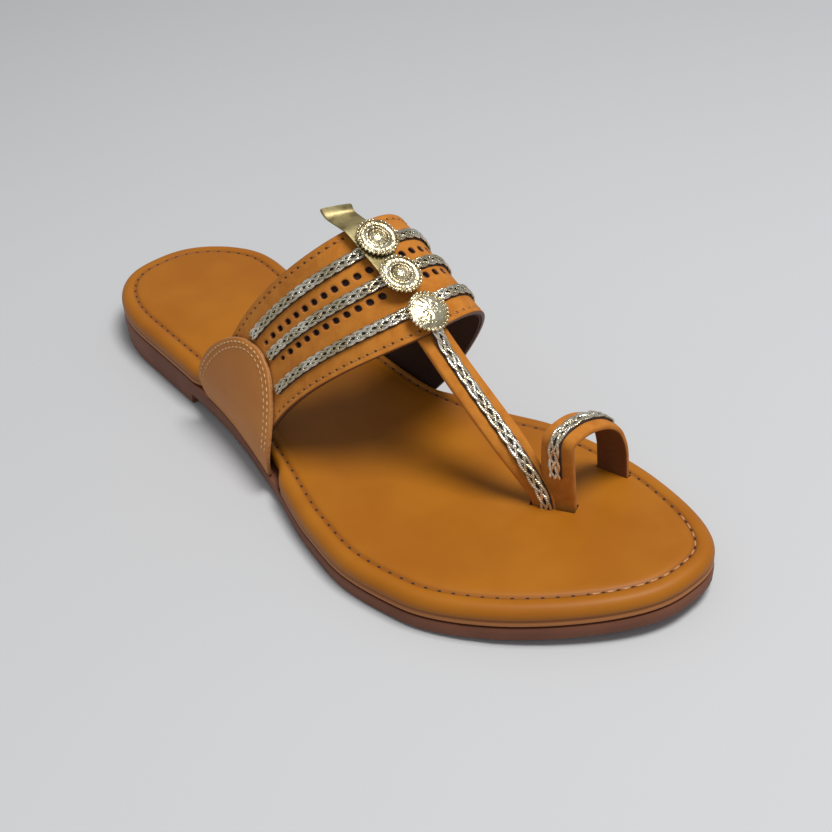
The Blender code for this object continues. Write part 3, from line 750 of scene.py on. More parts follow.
# %% give the band its wall and lay it over the last
STITCH_SINK = 0.00018
NUBUCK_WALL = 0.65 * WALL     # the rest is the lining, a second sheet without holes
LINING_EDGE = 0.006


def band_lay(point):
    v = point.y / BAND_WIDTH + 0.5
    s = pattern_place(point.x, min(max(v, 0.0), 1.0))
    depth = -point.z / WALL * band_wall(s)
    if point.z > -WALL / 2 and any(abs(v - line) < 0.003 for line in STITCH_LINES):
        depth += STITCH_SINK
    place = band_point(s, v, -depth)
    if abs(s) > 0.999:
        place.z = footbed_bottom(place.y)
    return place


make_slots(band, 3)
modify(band, "SOLIDIFY", thickness=NUBUCK_WALL, offset=-1.0, material_offset=1, material_offset_rim=2,
       edge_crease_outer=0.32, edge_crease_inner=0.32)
flat_uv(band)
lay(band, band_lay)
smooth(band, 2, 50)

band_lining = new_sheet("band_lining", cells, 12)
lay(band_lining, lambda p: Vector((
    cell_distance(p), p.y * (0.5 - LINING_EDGE) * BAND_WIDTH, -NUBUCK_WALL)))
modify(band_lining, "SOLIDIFY", thickness=WALL - NUBUCK_WALL, offset=-1.0, edge_crease_outer=0.5,
       edge_crease_inner=0.5)
lay(band_lining, band_lay)
smooth(band_lining, 1, 50)
print("band faces:", len(band.data.polygons), "and its lining's:", len(band_lining.data.polygons))

# %% [markdown]
# The T-strap runs from under the band's front edge down to a slot between the toes, turning on its edge as
# it goes, and the toe loop stands in the same slot. Both are folded strips, so their edges are round. A
# table gives the line of each, and every row of points is set square to it.

# %% lines of the two toe straps
STRAP_WIDTH = 0.0100
LOOP_WIDTH = 0.0105
LOOP_HEIGHT = 0.0267
LOOP_SPAN = 0.0246
EMBED = 0.0006
SLOT_ALONG = 0.8150
SLOT_SIDE = -0.0003
SLOT_TURN = math.radians(-65.0)
STRAP_SETBACK = 0.0026
STRAP_ROOT = 0.74             # the T-strap is sewn under the band from here
STRAP_HEAD = 0.94             # and bends down from here
STRAP_STATIONS = 22
LOOP_STATIONS = 26

StrapRow = namedtuple("StrapRow", "forward aside drop twist inner")
STRAP_ROWS = [
    StrapRow(0.000, 0.00, 0.000, 0.00, 1.00),
    StrapRow(0.230, 0.19, 0.205, 0.06, 1.00),
    StrapRow(0.450, 0.44, 0.405, 0.20, 1.00),
    StrapRow(0.670, 0.60, 0.575, 0.42, 0.92),
    StrapRow(0.860, 0.82, 0.760, 0.78, 0.66),
    StrapRow(0.985, 0.99, 0.930, 1.00, 0.44),
    StrapRow(1.000, 1.00, 1.000, 1.00, 0.42),
]
LoopRow = namedtuple("LoopRow", "across height turn")
LOOP_ROWS = [
    LoopRow(0.000, 0.00, 1.00),
    LoopRow(-0.020, 0.30, 0.80),
    LoopRow(-0.045, 0.82, 0.35),
    LoopRow(0.050, 0.970, 0.15),
    LoopRow(0.300, 1.000, 0.06),
    LoopRow(0.640, 0.900, 0.27),
    LoopRow(0.865, 0.690, 0.33),
    LoopRow(0.985, 0.330, 0.33),
    LoopRow(1.000, 0.00, 0.33),
]

slot_middle = Vector((SLOT_SIDE, along(SLOT_ALONG), 0.0))
slot_way = Vector((math.cos(SLOT_TURN), math.sin(SLOT_TURN), 0.0))
out_of_slot = Vector((-slot_way.y, slot_way.x, 0.0))


def read_rows(rows, name, count):
    """A column of a table at evenly spaced places from its first row to its last."""
    return curve_through(range(len(rows)), column(rows, name), np.linspace(0, len(rows) - 1, count))


def frames_through(points, ways):
    """Frames along a strap: a point, the way across and the way out of its outer face."""
    frames = []
    for i, point in enumerate(points):
        run = (points[min(i + 1, len(points) - 1)] - points[max(i - 1, 0)]).normalized()
        across = (ways[i] - run * ways[i].dot(run)).normalized()
        frames.append((point, across, across.cross(run)))
    return frames


def to_floor(point):
    return Vector((point.x, point.y, footbed_bottom(point.y)))


def strap_frames():
    head = band_point(0.0, STRAP_HEAD, EMBED - WALL)
    foot = slot_middle + slot_way * STRAP_SETBACK
    foot.z = footbed_top(foot.y)
    turned = math.atan2(slot_way.y, slot_way.x)
    points = [band_point(0.0, STRAP_ROOT, EMBED - WALL)]
    ways = [Vector((1.0, 0.0, 0.0))]
    names = ("forward", "aside", "drop", "twist")
    for forward, aside, drop, twist in zip(*[read_rows(STRAP_ROWS, name, STRAP_STATIONS) for name in names]):
        points.append(Vector((
            mix(head.x, foot.x, aside), mix(head.y, foot.y, forward), mix(head.z, foot.z, drop))))
        ways.append(Vector((math.cos(turned * twist), math.sin(turned * twist), 0.0)))
    return frames_through(points + [to_floor(points[-1])], ways + [ways[-1]])


def loop_frames():
    start = slot_middle - out_of_slot * (WALL - EMBED)
    base = footbed_top(start.y)
    points = []
    ways = []
    columns = [read_rows(LOOP_ROWS, name, LOOP_STATIONS) for name in LoopRow._fields]
    for across, height, turned in zip(*columns):
        points.append(Vector((start.x - across * LOOP_SPAN, start.y, base + height * LOOP_HEIGHT)))
        ways.append(Vector((turned * slot_way.x / slot_way.y, 1.0, 0.0)).normalized())
    points = [to_floor(points[0])] + points + [to_floor(points[-1])]
    return frames_through(points, ways[:1] + ways + ways[-1:])


def strap_inner():
    """How much of the T-strap's inner half is left at each of its frames."""
    inner = list(read_rows(STRAP_ROWS, "inner", STRAP_STATIONS))
    return inner[:1] + inner + inner[-1:]


strap_line = strap_frames()
loop_line = loop_frames()
print("frames:", len(strap_line), "for the T-strap and", len(loop_line), "for the loop")

# %% straps laid through their frames
EDGE_FALL = 0.00045


def at_row(line, row):
    """The frame at a row's number, also between two rows."""
    i = min(max(int(row), 0), len(line) - 2)
    return [a.lerp(b, row - i) for a, b in zip(line[i], line[i + 1])]


def on_strap(line, row, across, height):
    point, way, out = at_row(line, row)
    return point + way.normalized() * across + out.normalized() * height


def strap_piece(name, line, width, inner):
    """A folded strip: its outer face falls away towards both edges."""
    rows = len(line) - 1
    obj = new_sheet(name, 8, rows)
    lay(obj, lambda p: Vector((p.x * width / 2, (p.y + 1) / 2 * rows, 0.0)))
    make_slots(obj, 2)
    modify(obj, "SOLIDIFY", thickness=WALL, offset=-1.0, material_offset=1, edge_crease_outer=0.1,
           edge_crease_inner=0.25)
    flat_uv(obj)

    def place(point):
        fall = EDGE_FALL * (2 * abs(point.x) / width) ** 3 if point.z > -WALL / 2 else 0.0
        left = float(np.interp(point.y, range(len(inner)), inner)) if point.x < 0 else 1.0
        laid = on_strap(line, point.y, point.x * left, point.z - fall)
        floor = footbed_bottom(laid.y)
        return Vector((laid.x, laid.y, floor)) if laid.z < floor + 2 * GAP else laid

    lay(obj, place)
    smooth(obj, 2, 60)
    return obj


t_strap = strap_piece("t_strap", strap_line, STRAP_WIDTH, strap_inner())
toe_loop = strap_piece("toe_loop", loop_line, LOOP_WIDTH, [1.0] * len(loop_line))
print("strap faces:", len(t_strap.data.polygons), len(toe_loop.data.polygons))

# %% [markdown]
# Two slots let the toe straps through the footbed. Each is cut by a box the size of its strap and a hair
# more, after the footbed is smooth, so that its corners stay as crisp as a chisel leaves them.

# %% slots in the footbed
CUTTER_MIDDLE = 0.02
CUTTER_HEIGHT = 0.06


def cut_slot(target, middle, way, length, width):
    bpy.ops.mesh.primitive_cube_add(size=1)
    cutter = bpy.context.active_object
    side = Vector((-way.y, way.x, 0.0))
    lay(cutter, lambda p: Vector((middle.x, middle.y, CUTTER_MIDDLE + p.z * CUTTER_HEIGHT))
        + way * (p.x * length) + side * (p.y * width))
    face_outwards(cutter)
    modify(target, "BOOLEAN", operation="DIFFERENCE", object=cutter, solver="EXACT")
    bpy.data.objects.remove(cutter, do_unlink=True)


inner_slot = slot_middle - out_of_slot * (WALL - EMBED / 2) + slot_way * (STRAP_SETBACK / 2)
cut_slot(footbed, inner_slot, slot_way, LOOP_WIDTH + STRAP_SETBACK + 2 * GAP, 2 * WALL - EMBED + 2 * GAP)
leg_point, leg_way, leg_out = loop_line[-1]
cut_slot(footbed, leg_point - leg_out * (WALL / 2), leg_way, LOOP_WIDTH + GAP, WALL + GAP)
smooth(footbed, 0, 50)
print("footbed faces after the slots:", len(footbed.data.polygons))

# %% [markdown]
# Each flap is cut as a half disc, pushed out to its own oval and laid on the band at the height of a thin
# gap. Its rim is rolled, which comes from easing the wall's corners when it is smoothed.

# %% flaps


def half_oval(ear, u, w):
    """A point of a half square as the flap's own shape: its reach along the foot and its rise."""
    side = u * math.sqrt(1 - w * w / 2)
    rise = w * math.sqrt(1 - u * u / 2)
    radius = math.hypot(side, rise)
    if radius < 1e-9:
        return 0.0, 0.0
    fullness = ear.front_fullness if side > 0 else ear.back_fullness
    reach = ear.front if side > 0 else ear.back
    c, r = abs(side) / radius, rise / radius
    scale = radius / (c ** fullness + r ** fullness) ** (1 / fullness)
    return math.copysign(ear_tuck(ear, r * scale) * c * scale * reach * SOLE_LENGTH, side), r * scale


def ear_place(ear, along_foot, rise, height):
    y = along(ear.top) + along_foot
    z = mix(footbed_bottom(y), EAR_HEIGHT, rise)
    s, v = band_coordinates(ear.half, y, z)
    place = band_point(s, v, height)
    if rise < 1e-6:
        place.z = footbed_bottom(place.y)
    return place


def ear_piece(name, ear):
    obj = new_sheet(name, 32, 14)
    lay(obj, lambda p: Vector((p.x, (p.y + 1) / 2, 0.0)))
    make_slots(obj, 3)
    modify(obj, "SOLIDIFY", thickness=EAR_WALL, offset=1.0, material_offset=1, material_offset_rim=2,
           edge_crease_outer=0.2, edge_crease_inner=0.3)

    def place(point):
        along_foot, rise = half_oval(ear, min(max(point.x, -1.0), 1.0), min(max(point.y, 0.0), 1.0))
        return ear_place(ear, along_foot, rise, GAP + point.z)

    lay(obj, place)
    face_outwards(obj)
    smooth(obj, 1, 50)
    return obj


ears = {name: ear_piece("flap_" + name[4:], ear) for name, ear in EARS.items()}
for name, obj in ears.items():
    print(name, "faces:", len(obj.data.polygons))

# %% [markdown]
# The trim is flat plaited cord: four strands of metallic yarn that cross at the middle and at the sides,
# over a dark core. One strand is a tube that is laid along its wave; the heights alternate, so that every
# crossing goes over and then under. The core shows as dark diamonds between the strands.

# %% plaited cord
BRAID_WIDTH = 0.0038
BRAID_LINES = {"braid_back": 0.22, "braid_middle": 0.49, "braid_front": 0.79}
STRAND_WIDTH = 0.00105
STRAND_HEIGHT = 0.00072
STRAND_BASE = 0.00085
WEAVE = 0.00022
STRAND_CUT = 0.0006
CORE_CUT = 0.0015
CORE_HEIGHT = 0.00055
CORE_LIFT = 0.00005
SWAY = (BRAID_WIDTH - STRAND_WIDTH) / 2
RISES = {
    "sine": ([0, 0.25, 0.75, 1, 1.25, 1.75, 2], [1, -1, 1, -1, 1, -1, 1]),
    "cosine": ([-0.25, 0.25, 0.5, 0.75, 1.25, 1.5, 1.75, 2.25], [-1, 1, -1, 1, -1, 1, -1, 1]),
}
STRANDS = [("sine", 1), ("sine", -1), ("cosine", 1), ("cosine", -1)]


def strand_wave(kind, sign, turns):
    """How far a strand lies across and how high, at a number of turns of its wave."""
    half_turns = (turns % 1.0) * 2
    places, levels = RISES[kind]
    angle = math.pi * half_turns
    across = math.sin(angle) if kind == "sine" else math.cos(angle)
    return sign * across, sign * float(np.interp(half_turns, places, levels))


def strand(length, wave, kind, sign, place):
    """One strand from the start of a cord to its end; place turns along, across and height to a point."""
    cuts = max(int(length / STRAND_CUT), 8)
    bpy.ops.mesh.primitive_cylinder_add(vertices=8, radius=0.5, depth=1.0)
    obj = bpy.context.active_object
    edit(obj, "EDGE")
    pick_edges(obj, lambda a, b: abs(a.z - b.z) > 0.5)
    bpy.ops.mesh.subdivide(number_cuts=cuts)
    leave()
    flat_uv(obj, lambda point: (
        math.atan2(point.x, point.y) / math.pi * STRAND_WIDTH, (point.z + 0.5) * length))

    def laid(point):
        t = (point.z + 0.5) * length
        across, level = strand_wave(kind, sign, t / wave)
        height = STRAND_BASE + level * WEAVE + point.y * STRAND_HEIGHT
        return place(t, across * SWAY + point.x * STRAND_WIDTH, height)

    lay(obj, laid)
    face_outwards(obj)
    smooth(obj, 0, 180)
    return obj


def core(length, place):
    """The dark flat bar that the strands are sewn over."""
    rows = max(int(length / CORE_CUT), 8)
    obj = new_sheet("core", 4, rows)
    lay(obj, lambda p: Vector((p.x, (p.y + 1) / 2 * length, 0.0)))
    modify(obj, "SOLIDIFY", thickness=CORE_HEIGHT, offset=1.0)
    lay(obj, lambda p: place(p.y, p.x * BRAID_WIDTH / 2, CORE_LIFT + p.z * (1 - 0.5 * p.x * p.x)))
    face_outwards(obj)
    smooth(obj, 0, 60)
    return obj


def cord_of(name, length, wave, place):
    """The core and its four strands; their finishes are set when the materials exist."""
    yarns = join(name, [strand(length, wave, kind, sign, place) for kind, sign in STRANDS])
    dark = core(length, place)
    dark.name = name + "_core"
    print(name, "is", round(length * 1000), "mm long")
    return yarns, dark


# %% braids on the band
BAND_WAVE = 0.0142
TOE_WAVE = 0.0200
LIFT_LENGTH = 0.0060
CORD_MARGIN = 0.0016
cords = {}


def band_cord(name, v):
    medial = ear_limit(EARS["ear_medial"], v, CORD_MARGIN)
    lateral = ear_limit(EARS["ear_lateral"], v, CORD_MARGIN)
    breadth = (band_surface(0.0, v + 0.05) - band_surface(0.0, v - 0.05)).length / 0.1

    def place(t, across, height):
        return band_point(place_at(t - medial, v), v + across / breadth, height)

    return cord_of(name, medial + lateral, BAND_WAVE, place)


for name, v in BRAID_LINES.items():
    cords[name] = band_cord(name + "_yarn", v)

# %% braids on the toe straps


def strap_cord(name, line, first, last, lift=0.0):
    """A cord along a strap between two of its rows. It may start lifted, where it comes over an edge."""
    points = [frame[0] for frame in line]
    lengths = np.cumsum([0.0] + [(b - a).length for a, b in zip(points, points[1:])])
    start = float(np.interp(first, range(len(line)), lengths))
    end = float(np.interp(last, range(len(line)), lengths))

    def place(t, across, height):
        row = float(np.interp(start + t, lengths, range(len(line))))
        return on_strap(line, row, across, height + lift * (1 - smoothstep(t / LIFT_LENGTH)))

    return cord_of(name, end - start, TOE_WAVE, place)


def first_row(line, test):
    return next(i for i, frame in enumerate(line) if test(frame[0]))


band_edge = band_point(0.0, 1.0).y
strap_start = first_row(strap_line, lambda p: p.y > band_edge + 0.0005)
loop_start = first_row(loop_line, lambda p: p.z > footbed_top(p.y) + 0.30 * LOOP_HEIGHT)
cords["braid_strap"] = strap_cord(
    "braid_strap_yarn", strap_line, strap_start - 1.5, len(strap_line) - 2.1, WALL - EMBED)
cords["braid_loop"] = strap_cord("braid_loop_yarn", loop_line, loop_start, len(loop_line) - 2.1)

# %% [markdown]
# Three pressed discs stand on the crown. A disc starts as a flat round blank; its top face is inset again
# and again, a little higher or lower each time, which raises the ring and the boss as a die would. Small
# beads make the rim. The front disc has no boss: it is hammered, so its points are shaken a little.

# %% discs
DISC_RADIUS = 0.0064
DISC_LIFT = 0.0036
DISC_THICKNESS = 0.0008
DISC_BEADS = 30
BEAD_RADIUS = 0.00056
BEAD_HEIGHT = 0.00075
HAMMER_FLOOR = 0.0009
HAMMER_DENT = 0.00012
Press = namedtuple("Press", "inward lift")
BOSSED = [
    Press(0.00070, 0.00005), Press(0.00055, -0.00020), Press(0.00060, 0.00010), Press(0.00050, 0.00055),
    Press(0.00045, 0.00005), Press(0.00050, -0.00055), Press(0.00035, 0.00005), Press(0.00040, 0.00050),
    Press(0.00050, 0.00030), Press(0.00060, 0.00012), Press(0.00045, 0.00003)]
HAMMERED = [
    Press(0.00050, 0.00010), Press(0.00060, 0.00035), Press(0.00080, 0.00030), Press(0.00090, 0.00022),
    Press(0.00090, 0.00014), Press(0.00090, 0.00007), Press(0.00080, 0.00003)]
DiscRow = namedtuple("DiscRow", "along aside lift tilt press")
DISCS = {
    "disc_back": DiscRow(0.212, -0.0019, 1.0, 0.0, BOSSED),
    "disc_middle": DiscRow(0.544, 0.0, 1.0, 0.0, BOSSED),
    "disc_front": DiscRow(0.873, 0.0, 0.61, math.radians(8.0), HAMMERED),
}


def pressed_disc(name, row):
    blank = DISC_RADIUS - BEAD_RADIUS
    bpy.ops.mesh.primitive_cylinder_add(
        vertices=48, radius=blank, depth=DISC_THICKNESS, location=(0, 0, DISC_THICKNESS / 2))
    obj = bpy.context.active_object
    bpy.ops.object.transform_apply(location=True)
    edit(obj)
    pick_faces(obj, lambda c: c.z > 0.99 * DISC_THICKNESS)
    for press in row.press:
        bpy.ops.mesh.inset(thickness=press.inward, depth=press.lift)
    bpy.ops.mesh.merge(type="CENTER")
    if row.press is HAMMERED:
        bpy.ops.mesh.select_mode(type="VERT")
        mesh = bmesh.from_edit_mesh(obj.data)
        for vertex in mesh.verts:
            vertex.select_set(vertex.co.z > HAMMER_FLOOR)
        bmesh.update_edit_mesh(obj.data)
        bpy.ops.transform.vertex_random(offset=HAMMER_DENT, uniform=0.2, normal=1.0, seed=5)
    leave()
    smooth(obj, 1, 50)
    bpy.ops.mesh.primitive_uv_sphere_add(segments=8, ring_count=6, radius=BEAD_RADIUS)
    bead = bpy.context.active_object
    smooth(bead, 0, 180)
    ring = [
        Matrix.Rotation(2 * math.pi * i / DISC_BEADS, 4, "Z") @ Matrix.Translation((blank, 0, BEAD_HEIGHT))
        for i in range(DISC_BEADS)]
    obj = join(name, [copies("beads", bead, ring), obj])
    flat_uv(obj)
    point = band_point(0.0, row.along, row.lift * DISC_LIFT) + Vector((row.aside, 0.0, 0.0))
    lean = Matrix.Rotation(-row.tilt, 4, "X")
    stand = band_normal(0.0, row.along).to_track_quat("Z", "X").to_matrix().to_4x4()
    obj.data.transform(Matrix.Translation(point) @ lean @ stand)
    return obj


discs = {name: pressed_disc("pressed_" + name, row) for name, row in DISCS.items()}
print("disc faces:", [len(obj.data.polygons) for obj in discs.values()])

# %% [markdown]
# A gold strip carries the two rear discs. Its free end lies behind them and is cut on the slant.

# %% gold strip
STRIP_WIDTH = 0.0086
STRIP_THICKNESS = 0.0005
STRIP_LIFT = 0.0023
StripRow = namedtuple("StripRow", "along height")
STRIP_ROWS = [
    StripRow(-0.195, 0.20),
    StripRow(-0.140, -0.25),
    StripRow(-0.060, 0.17),
    StripRow(0.000, 0.61),
    StripRow(0.050, 0.91),
    StripRow(0.150, 1.0),
    StripRow(0.400, 1.0),
    StripRow(0.620, 1.0),
]
STRIP_CELLS = 30
SLANT = 0.0022
SLANT_CELLS = 7
BOW = 0.00035
BOW_CELLS = 12

strip_stations = np.linspace(STRIP_ROWS[0].along, STRIP_ROWS[-1].along, STRIP_CELLS + 1)
strip_heights = STRIP_LIFT * curve_through(
    column(STRIP_ROWS, "along"), column(STRIP_ROWS, "height"), strip_stations)


def strip_place(point):
    row = (point.y + 1) / 2 * STRIP_CELLS
    rows = range(STRIP_CELLS + 1)
    v = float(np.interp(row, rows, strip_stations))
    height = float(np.interp(row, rows, strip_heights))
    slant = SLANT * max(1 - row / SLANT_CELLS, 0.0)
    bow = BOW * (1 - point.x ** 2) * max(1 - row / BOW_CELLS, 0.0)
    middle = band_point(0.0, v, height + point.z + bow)
    return middle + Vector((point.x * STRIP_WIDTH / 2, -slant * point.x, 0.0))


gold_strip = new_sheet("gold_strip", 8, STRIP_CELLS)
modify(gold_strip, "SOLIDIFY", thickness=STRIP_THICKNESS, offset=1.0, edge_crease_outer=0.3,
       edge_crease_inner=0.3)
lay(gold_strip, strip_place)
face_outwards(gold_strip)
smooth(gold_strip, 1, 50)
print("strip faces:", len(gold_strip.data.polygons))

# %% [markdown]
# Thread is modelled as single short stitches: one rounded grain, copied along every seam. The footbed's
# seam is pulled deep into its groove, so that mostly its pricks show; there the grains are dark, as painted
# shade for the needle holes. The band's seams run along both edges, and each flap has a double row inside
# its rim.

# %% one stitch and where it goes
Stitch = namedtuple("Stitch", "length radius")
FLATNESS = 0.8


def stitch_model(stitch):
    bpy.ops.mesh.primitive_uv_sphere_add(segments=8, ring_count=6, radius=1)
    obj = bpy.context.active_object
    lay(obj, lambda p: Vector((
        p.x * stitch.length / 2, p.y * stitch.radius, p.z * stitch.radius * FLATNESS)))
    smooth(obj, 0, 180)
    return obj


def stitch_matrix(point, run, out):
    run = run.normalized()
    side = out.cross(run).normalized()
    return Matrix.Translation(point) @ Matrix((run, side, run.cross(side))).transposed().to_4x4()


def even_points(path, pitch):
    """Points and directions at even steps along a path of (point, way out) pairs."""
    lengths = np.cumsum([0.0] + [(b[0] - a[0]).length for a, b in zip(path, path[1:])])
    count = max(int(lengths[-1] / pitch), 1)
    made = []
    for i in range(count):
        row = float(np.interp((i + 0.5) * lengths[-1] / count, lengths, range(len(path))))
        k = min(int(row), len(path) - 2)
        point = path[k][0].lerp(path[k + 1][0], row - k)
        made.append((point, path[k + 1][0] - path[k][0], path[k][1].lerp(path[k + 1][1], row - k)))
    return made


def sew(name, path, pitch, stitch):
    seam = [stitch_matrix(*place) for place in even_points(path, pitch)]
    obj = copies(name, stitch_model(stitch), seam)
    print(name, "stitches:", len(seam))
    return obj


# %% seams
FOOTBED_PITCH = 0.0040
BAND_PITCH = 0.0028
FLAP_PITCH = 0.0021
PIT_SHADE = Stitch(0.0012, 0.00042)
TOE_STITCH = Stitch(0.0024, 0.00030)
BAND_STITCH = Stitch(0.0016, 0.00026)
FLAP_ROWS = {                 # how far inside the rim each row runs, and its stitch
    "seam_outer": (0.0016, Stitch(0.0015, 0.00028)),
    "seam_inner": (0.0036, Stitch(0.0015, 0.00026)),
}
SEAM_FOOT = 0.0110            # the flaps' seams fade out below this height
SEAM_LIFT = 0.00002
TOE_THREAD = 0.93             # the thread of the groove shows in front of this share of the length
TOE_THREAD_LIFT = 0.0001
GROOVE_STEPS = 720
BAND_STEPS = 240
RIM_STEPS = 180


def groove_path():
    path = []
    for i in range(GROOVE_STEPS + 1):
        angle = -math.pi / 2 + 2 * math.pi * i / GROOVE_STEPS
        place = rim_point(angle) - rim_outward(angle) * GROOVE_INSET
        point = Vector((place.x, place.y, footbed_bottom(place.y) + GROOVE_HEIGHT))
        path.append((point, Vector((0, 0, 1))))
    return path


def band_seam(v):
    path = []
    medial, lateral = (ear_limit(EARS[name], v, 0.0) for name in ("ear_medial", "ear_lateral"))
    for i in range(BAND_STEPS + 1):
        s = place_at(mix(-medial, lateral, i / BAND_STEPS), v)
        path.append((band_point(s, v, SEAM_LIFT - STITCH_SINK), band_normal(s, v)))
    return path


def flap_rim(ear):
    """The flap's rim, seen flat: pairs along the foot and up, from its heel end to its toe end."""
    rim = []
    for i in range(RIM_STEPS + 1):
        angle = math.pi * (1 - i / RIM_STEPS)
        corner = max(abs(math.cos(angle)), abs(math.sin(angle)))
        along_foot, rise = half_oval(ear, math.cos(angle) / corner, math.sin(angle) / corner)
        rim.append(Vector((along_foot, rise * EAR_HEIGHT)))
    return rim


def flap_seam(ear, inset):
    """A line inside the flap's rim that ends above its foot."""
    rim = flap_rim(ear)
    path = []
    for i in range(2, len(rim) - 2):
        run = (rim[i + 2] - rim[i - 2]).normalized()
        flat = rim[i] + Vector((run.y, -run.x)) * inset
        if flat.y > SEAM_FOOT:
            place = [ear_place(ear, flat.x, flat.y / EAR_HEIGHT, GAP + EAR_WALL + h) for h in (0.0, 0.001)]
            path.append((place[0], place[1] - place[0]))
    return path


# painted shade: the dark grains along the groove stand for the shade in its needle holes
pits = even_points(groove_path(), FOOTBED_PITCH)
groove_pit_shade = copies("groove_pit_shade", stitch_model(PIT_SHADE), [stitch_matrix(*place) for place in pits])
toe_stitches = [
    stitch_matrix(a[0].lerp(b[0], 0.5) + Vector((0, 0, TOE_THREAD_LIFT)), b[0] - a[0], a[2])
    for a, b in zip(pits, pits[1:]) if a[0].y > along(TOE_THREAD)]
toe_thread = copies("toe_thread", stitch_model(TOE_STITCH), toe_stitches)
print("groove pits:", len(pits), "and stitches that show:", len(toe_stitches))
edge_seam = join("band_seam", [
    sew("band_seam_" + side, band_seam(v), BAND_PITCH, BAND_STITCH)
    for side, v in zip(("back", "front"), STITCH_LINES)])
flap_seams = {
    name: join("seam_" + name, [
        sew(row, flap_seam(ear, inset), FLAP_PITCH, stitch) for row, (inset, stitch) in FLAP_ROWS.items()])
    for name, ear in EARS.items()}

# %% [markdown]
# Finishes are made of nodes. A small class wraps a socket, so that sums on patterns read as plain
# arithmetic, and one method adds any other node. All patterns read the piece's own coordinates in metres.

# %% tools for finishes


class Wire:
    """A socket in a finish. Arithmetic on it adds Math nodes."""

    def __init__(self, finish, socket):
        self.finish = finish
        self.socket = socket

    def math(self, operation, *values):
        return self.finish.node("Math", {"operation": operation}, dict(enumerate(values)))[0]

    def __add__(self, other):
        return self.math("ADD", self, other)

    def __radd__(self, other):
        return self.math("ADD", other, self)

    def __sub__(self, other):
        return self.math("SUBTRACT", self, other)

    def __rsub__(self, other):
        return self.math("SUBTRACT", other, self)

    def __mul__(self, other):
        return self.math("MULTIPLY", self, other)

    def __rmul__(self, other):
        return self.math("MULTIPLY", other, self)

    def __truediv__(self, other):
        return self.math("DIVIDE", self, other)

    def clip(self):
        return self.math("MINIMUM", self.math("MAXIMUM", self, 0.0), 1.0)

    def distance(self, other):
        return self.math("ABSOLUTE", self - other)

    def power(self, exponent):
        return self.math("POWER", self, exponent)

    def ping_pong(self, scale):
        return self.math("PINGPONG", self, scale)


class Finish:
    """One material and its nodes."""

    def __init__(self, name, **constants):
        self.material = bpy.data.materials.new(name)
        self.material.use_nodes = True
        self.tree = self.material.node_tree
        self.shader = self.tree.nodes["Principled BSDF"]
        for socket, value in constants.items():
            self.set(socket.replace("_", " "), value)

    def node(self, kind, settings, sockets):
        """Adds a node: its settings first, then the values or links of its sockets. Gives its outputs."""
        made = self.tree.nodes.new("ShaderNode" + kind)
        for name, value in settings.items():
            setattr(made, name, value)
        for name, value in sockets.items():
            self.plug(made.inputs[name], value)
        return [Wire(self, output) for output in made.outputs]

    def plug(self, socket, value):
        if isinstance(value, Wire):
            self.tree.links.new(value.socket, socket)
        elif isinstance(value, tuple) and socket.type == "RGBA":
            socket.default_value = (*value, 1.0)[:4]
        else:
            socket.default_value = value

    def set(self, socket, value):
        self.plug(self.shader.inputs[socket], value)

    def places(self):
        """Object coordinates, in metres."""
        return self.node("TexCoord", {}, {})[3]

    def pattern(self):
        """The flat pattern's two distances, in metres."""
        wires = self.node("UVMap", {"uv_map": "pattern"}, {})
        parts = self.node("SeparateXYZ", {}, {0: wires[0]})
        return parts[0], parts[1]

    def noise(self, where, scale, detail=2.0, roughness=0.5):
        return self.node("TexNoise", {}, {
            "Vector": where, "Scale": scale, "Detail": detail, "Roughness": roughness})[0]

    def step(self, value, low, high):
        """From 0 at low to 1 at high, smoothly."""
        return self.node("MapRange", {"interpolation_type": "SMOOTHSTEP"}, {
            0: value, 1: low, 2: high, 3: 0.0, 4: 1.0})[0]

    def blend(self, mask, a, b):
        return self.node("Mix", {"data_type": "RGBA"}, {0: mask, 6: a, 7: b})[2]

    def relief(self, height, depth, strength=1.0):
        """A bump whose full height is depth metres."""
        bump = self.node("Bump", {}, {"Strength": strength, "Distance": depth, "Height": height})
        self.set("Normal", bump[0])


print("finish tools ready")

# %% [markdown]
# The smooth leather is satin, with very fine pores and a slight clouding of the tan. The nubuck is the
# same hide, sanded: it has a velvety nap, so it is rougher, a little warmer and has no gloss.

# %% leather finishes
TAN = (0.375, 0.128, 0.005)
TAN_DEEP = (0.325, 0.102, 0.003)
FLAP_TAN = (0.500, 0.185, 0.028)
FLAP_DEEP = (0.430, 0.148, 0.020)
PARED_TAN = (0.380, 0.150, 0.050)
NUBUCK_TAN = (0.500, 0.184, 0.024)
NUBUCK_DEEP = (0.390, 0.128, 0.014)
# the cut edge's own colour, also used as painted shade in the footbed's crease and groove
CUT_EDGE_AND_PAINTED_SHADE = (0.150, 0.047, 0.014)
# painted shade for the needle holes, on the band and in the footbed's groove
PRICK_SHADE = (0.040, 0.015, 0.008)
LINING = (0.026, 0.010, 0.005)


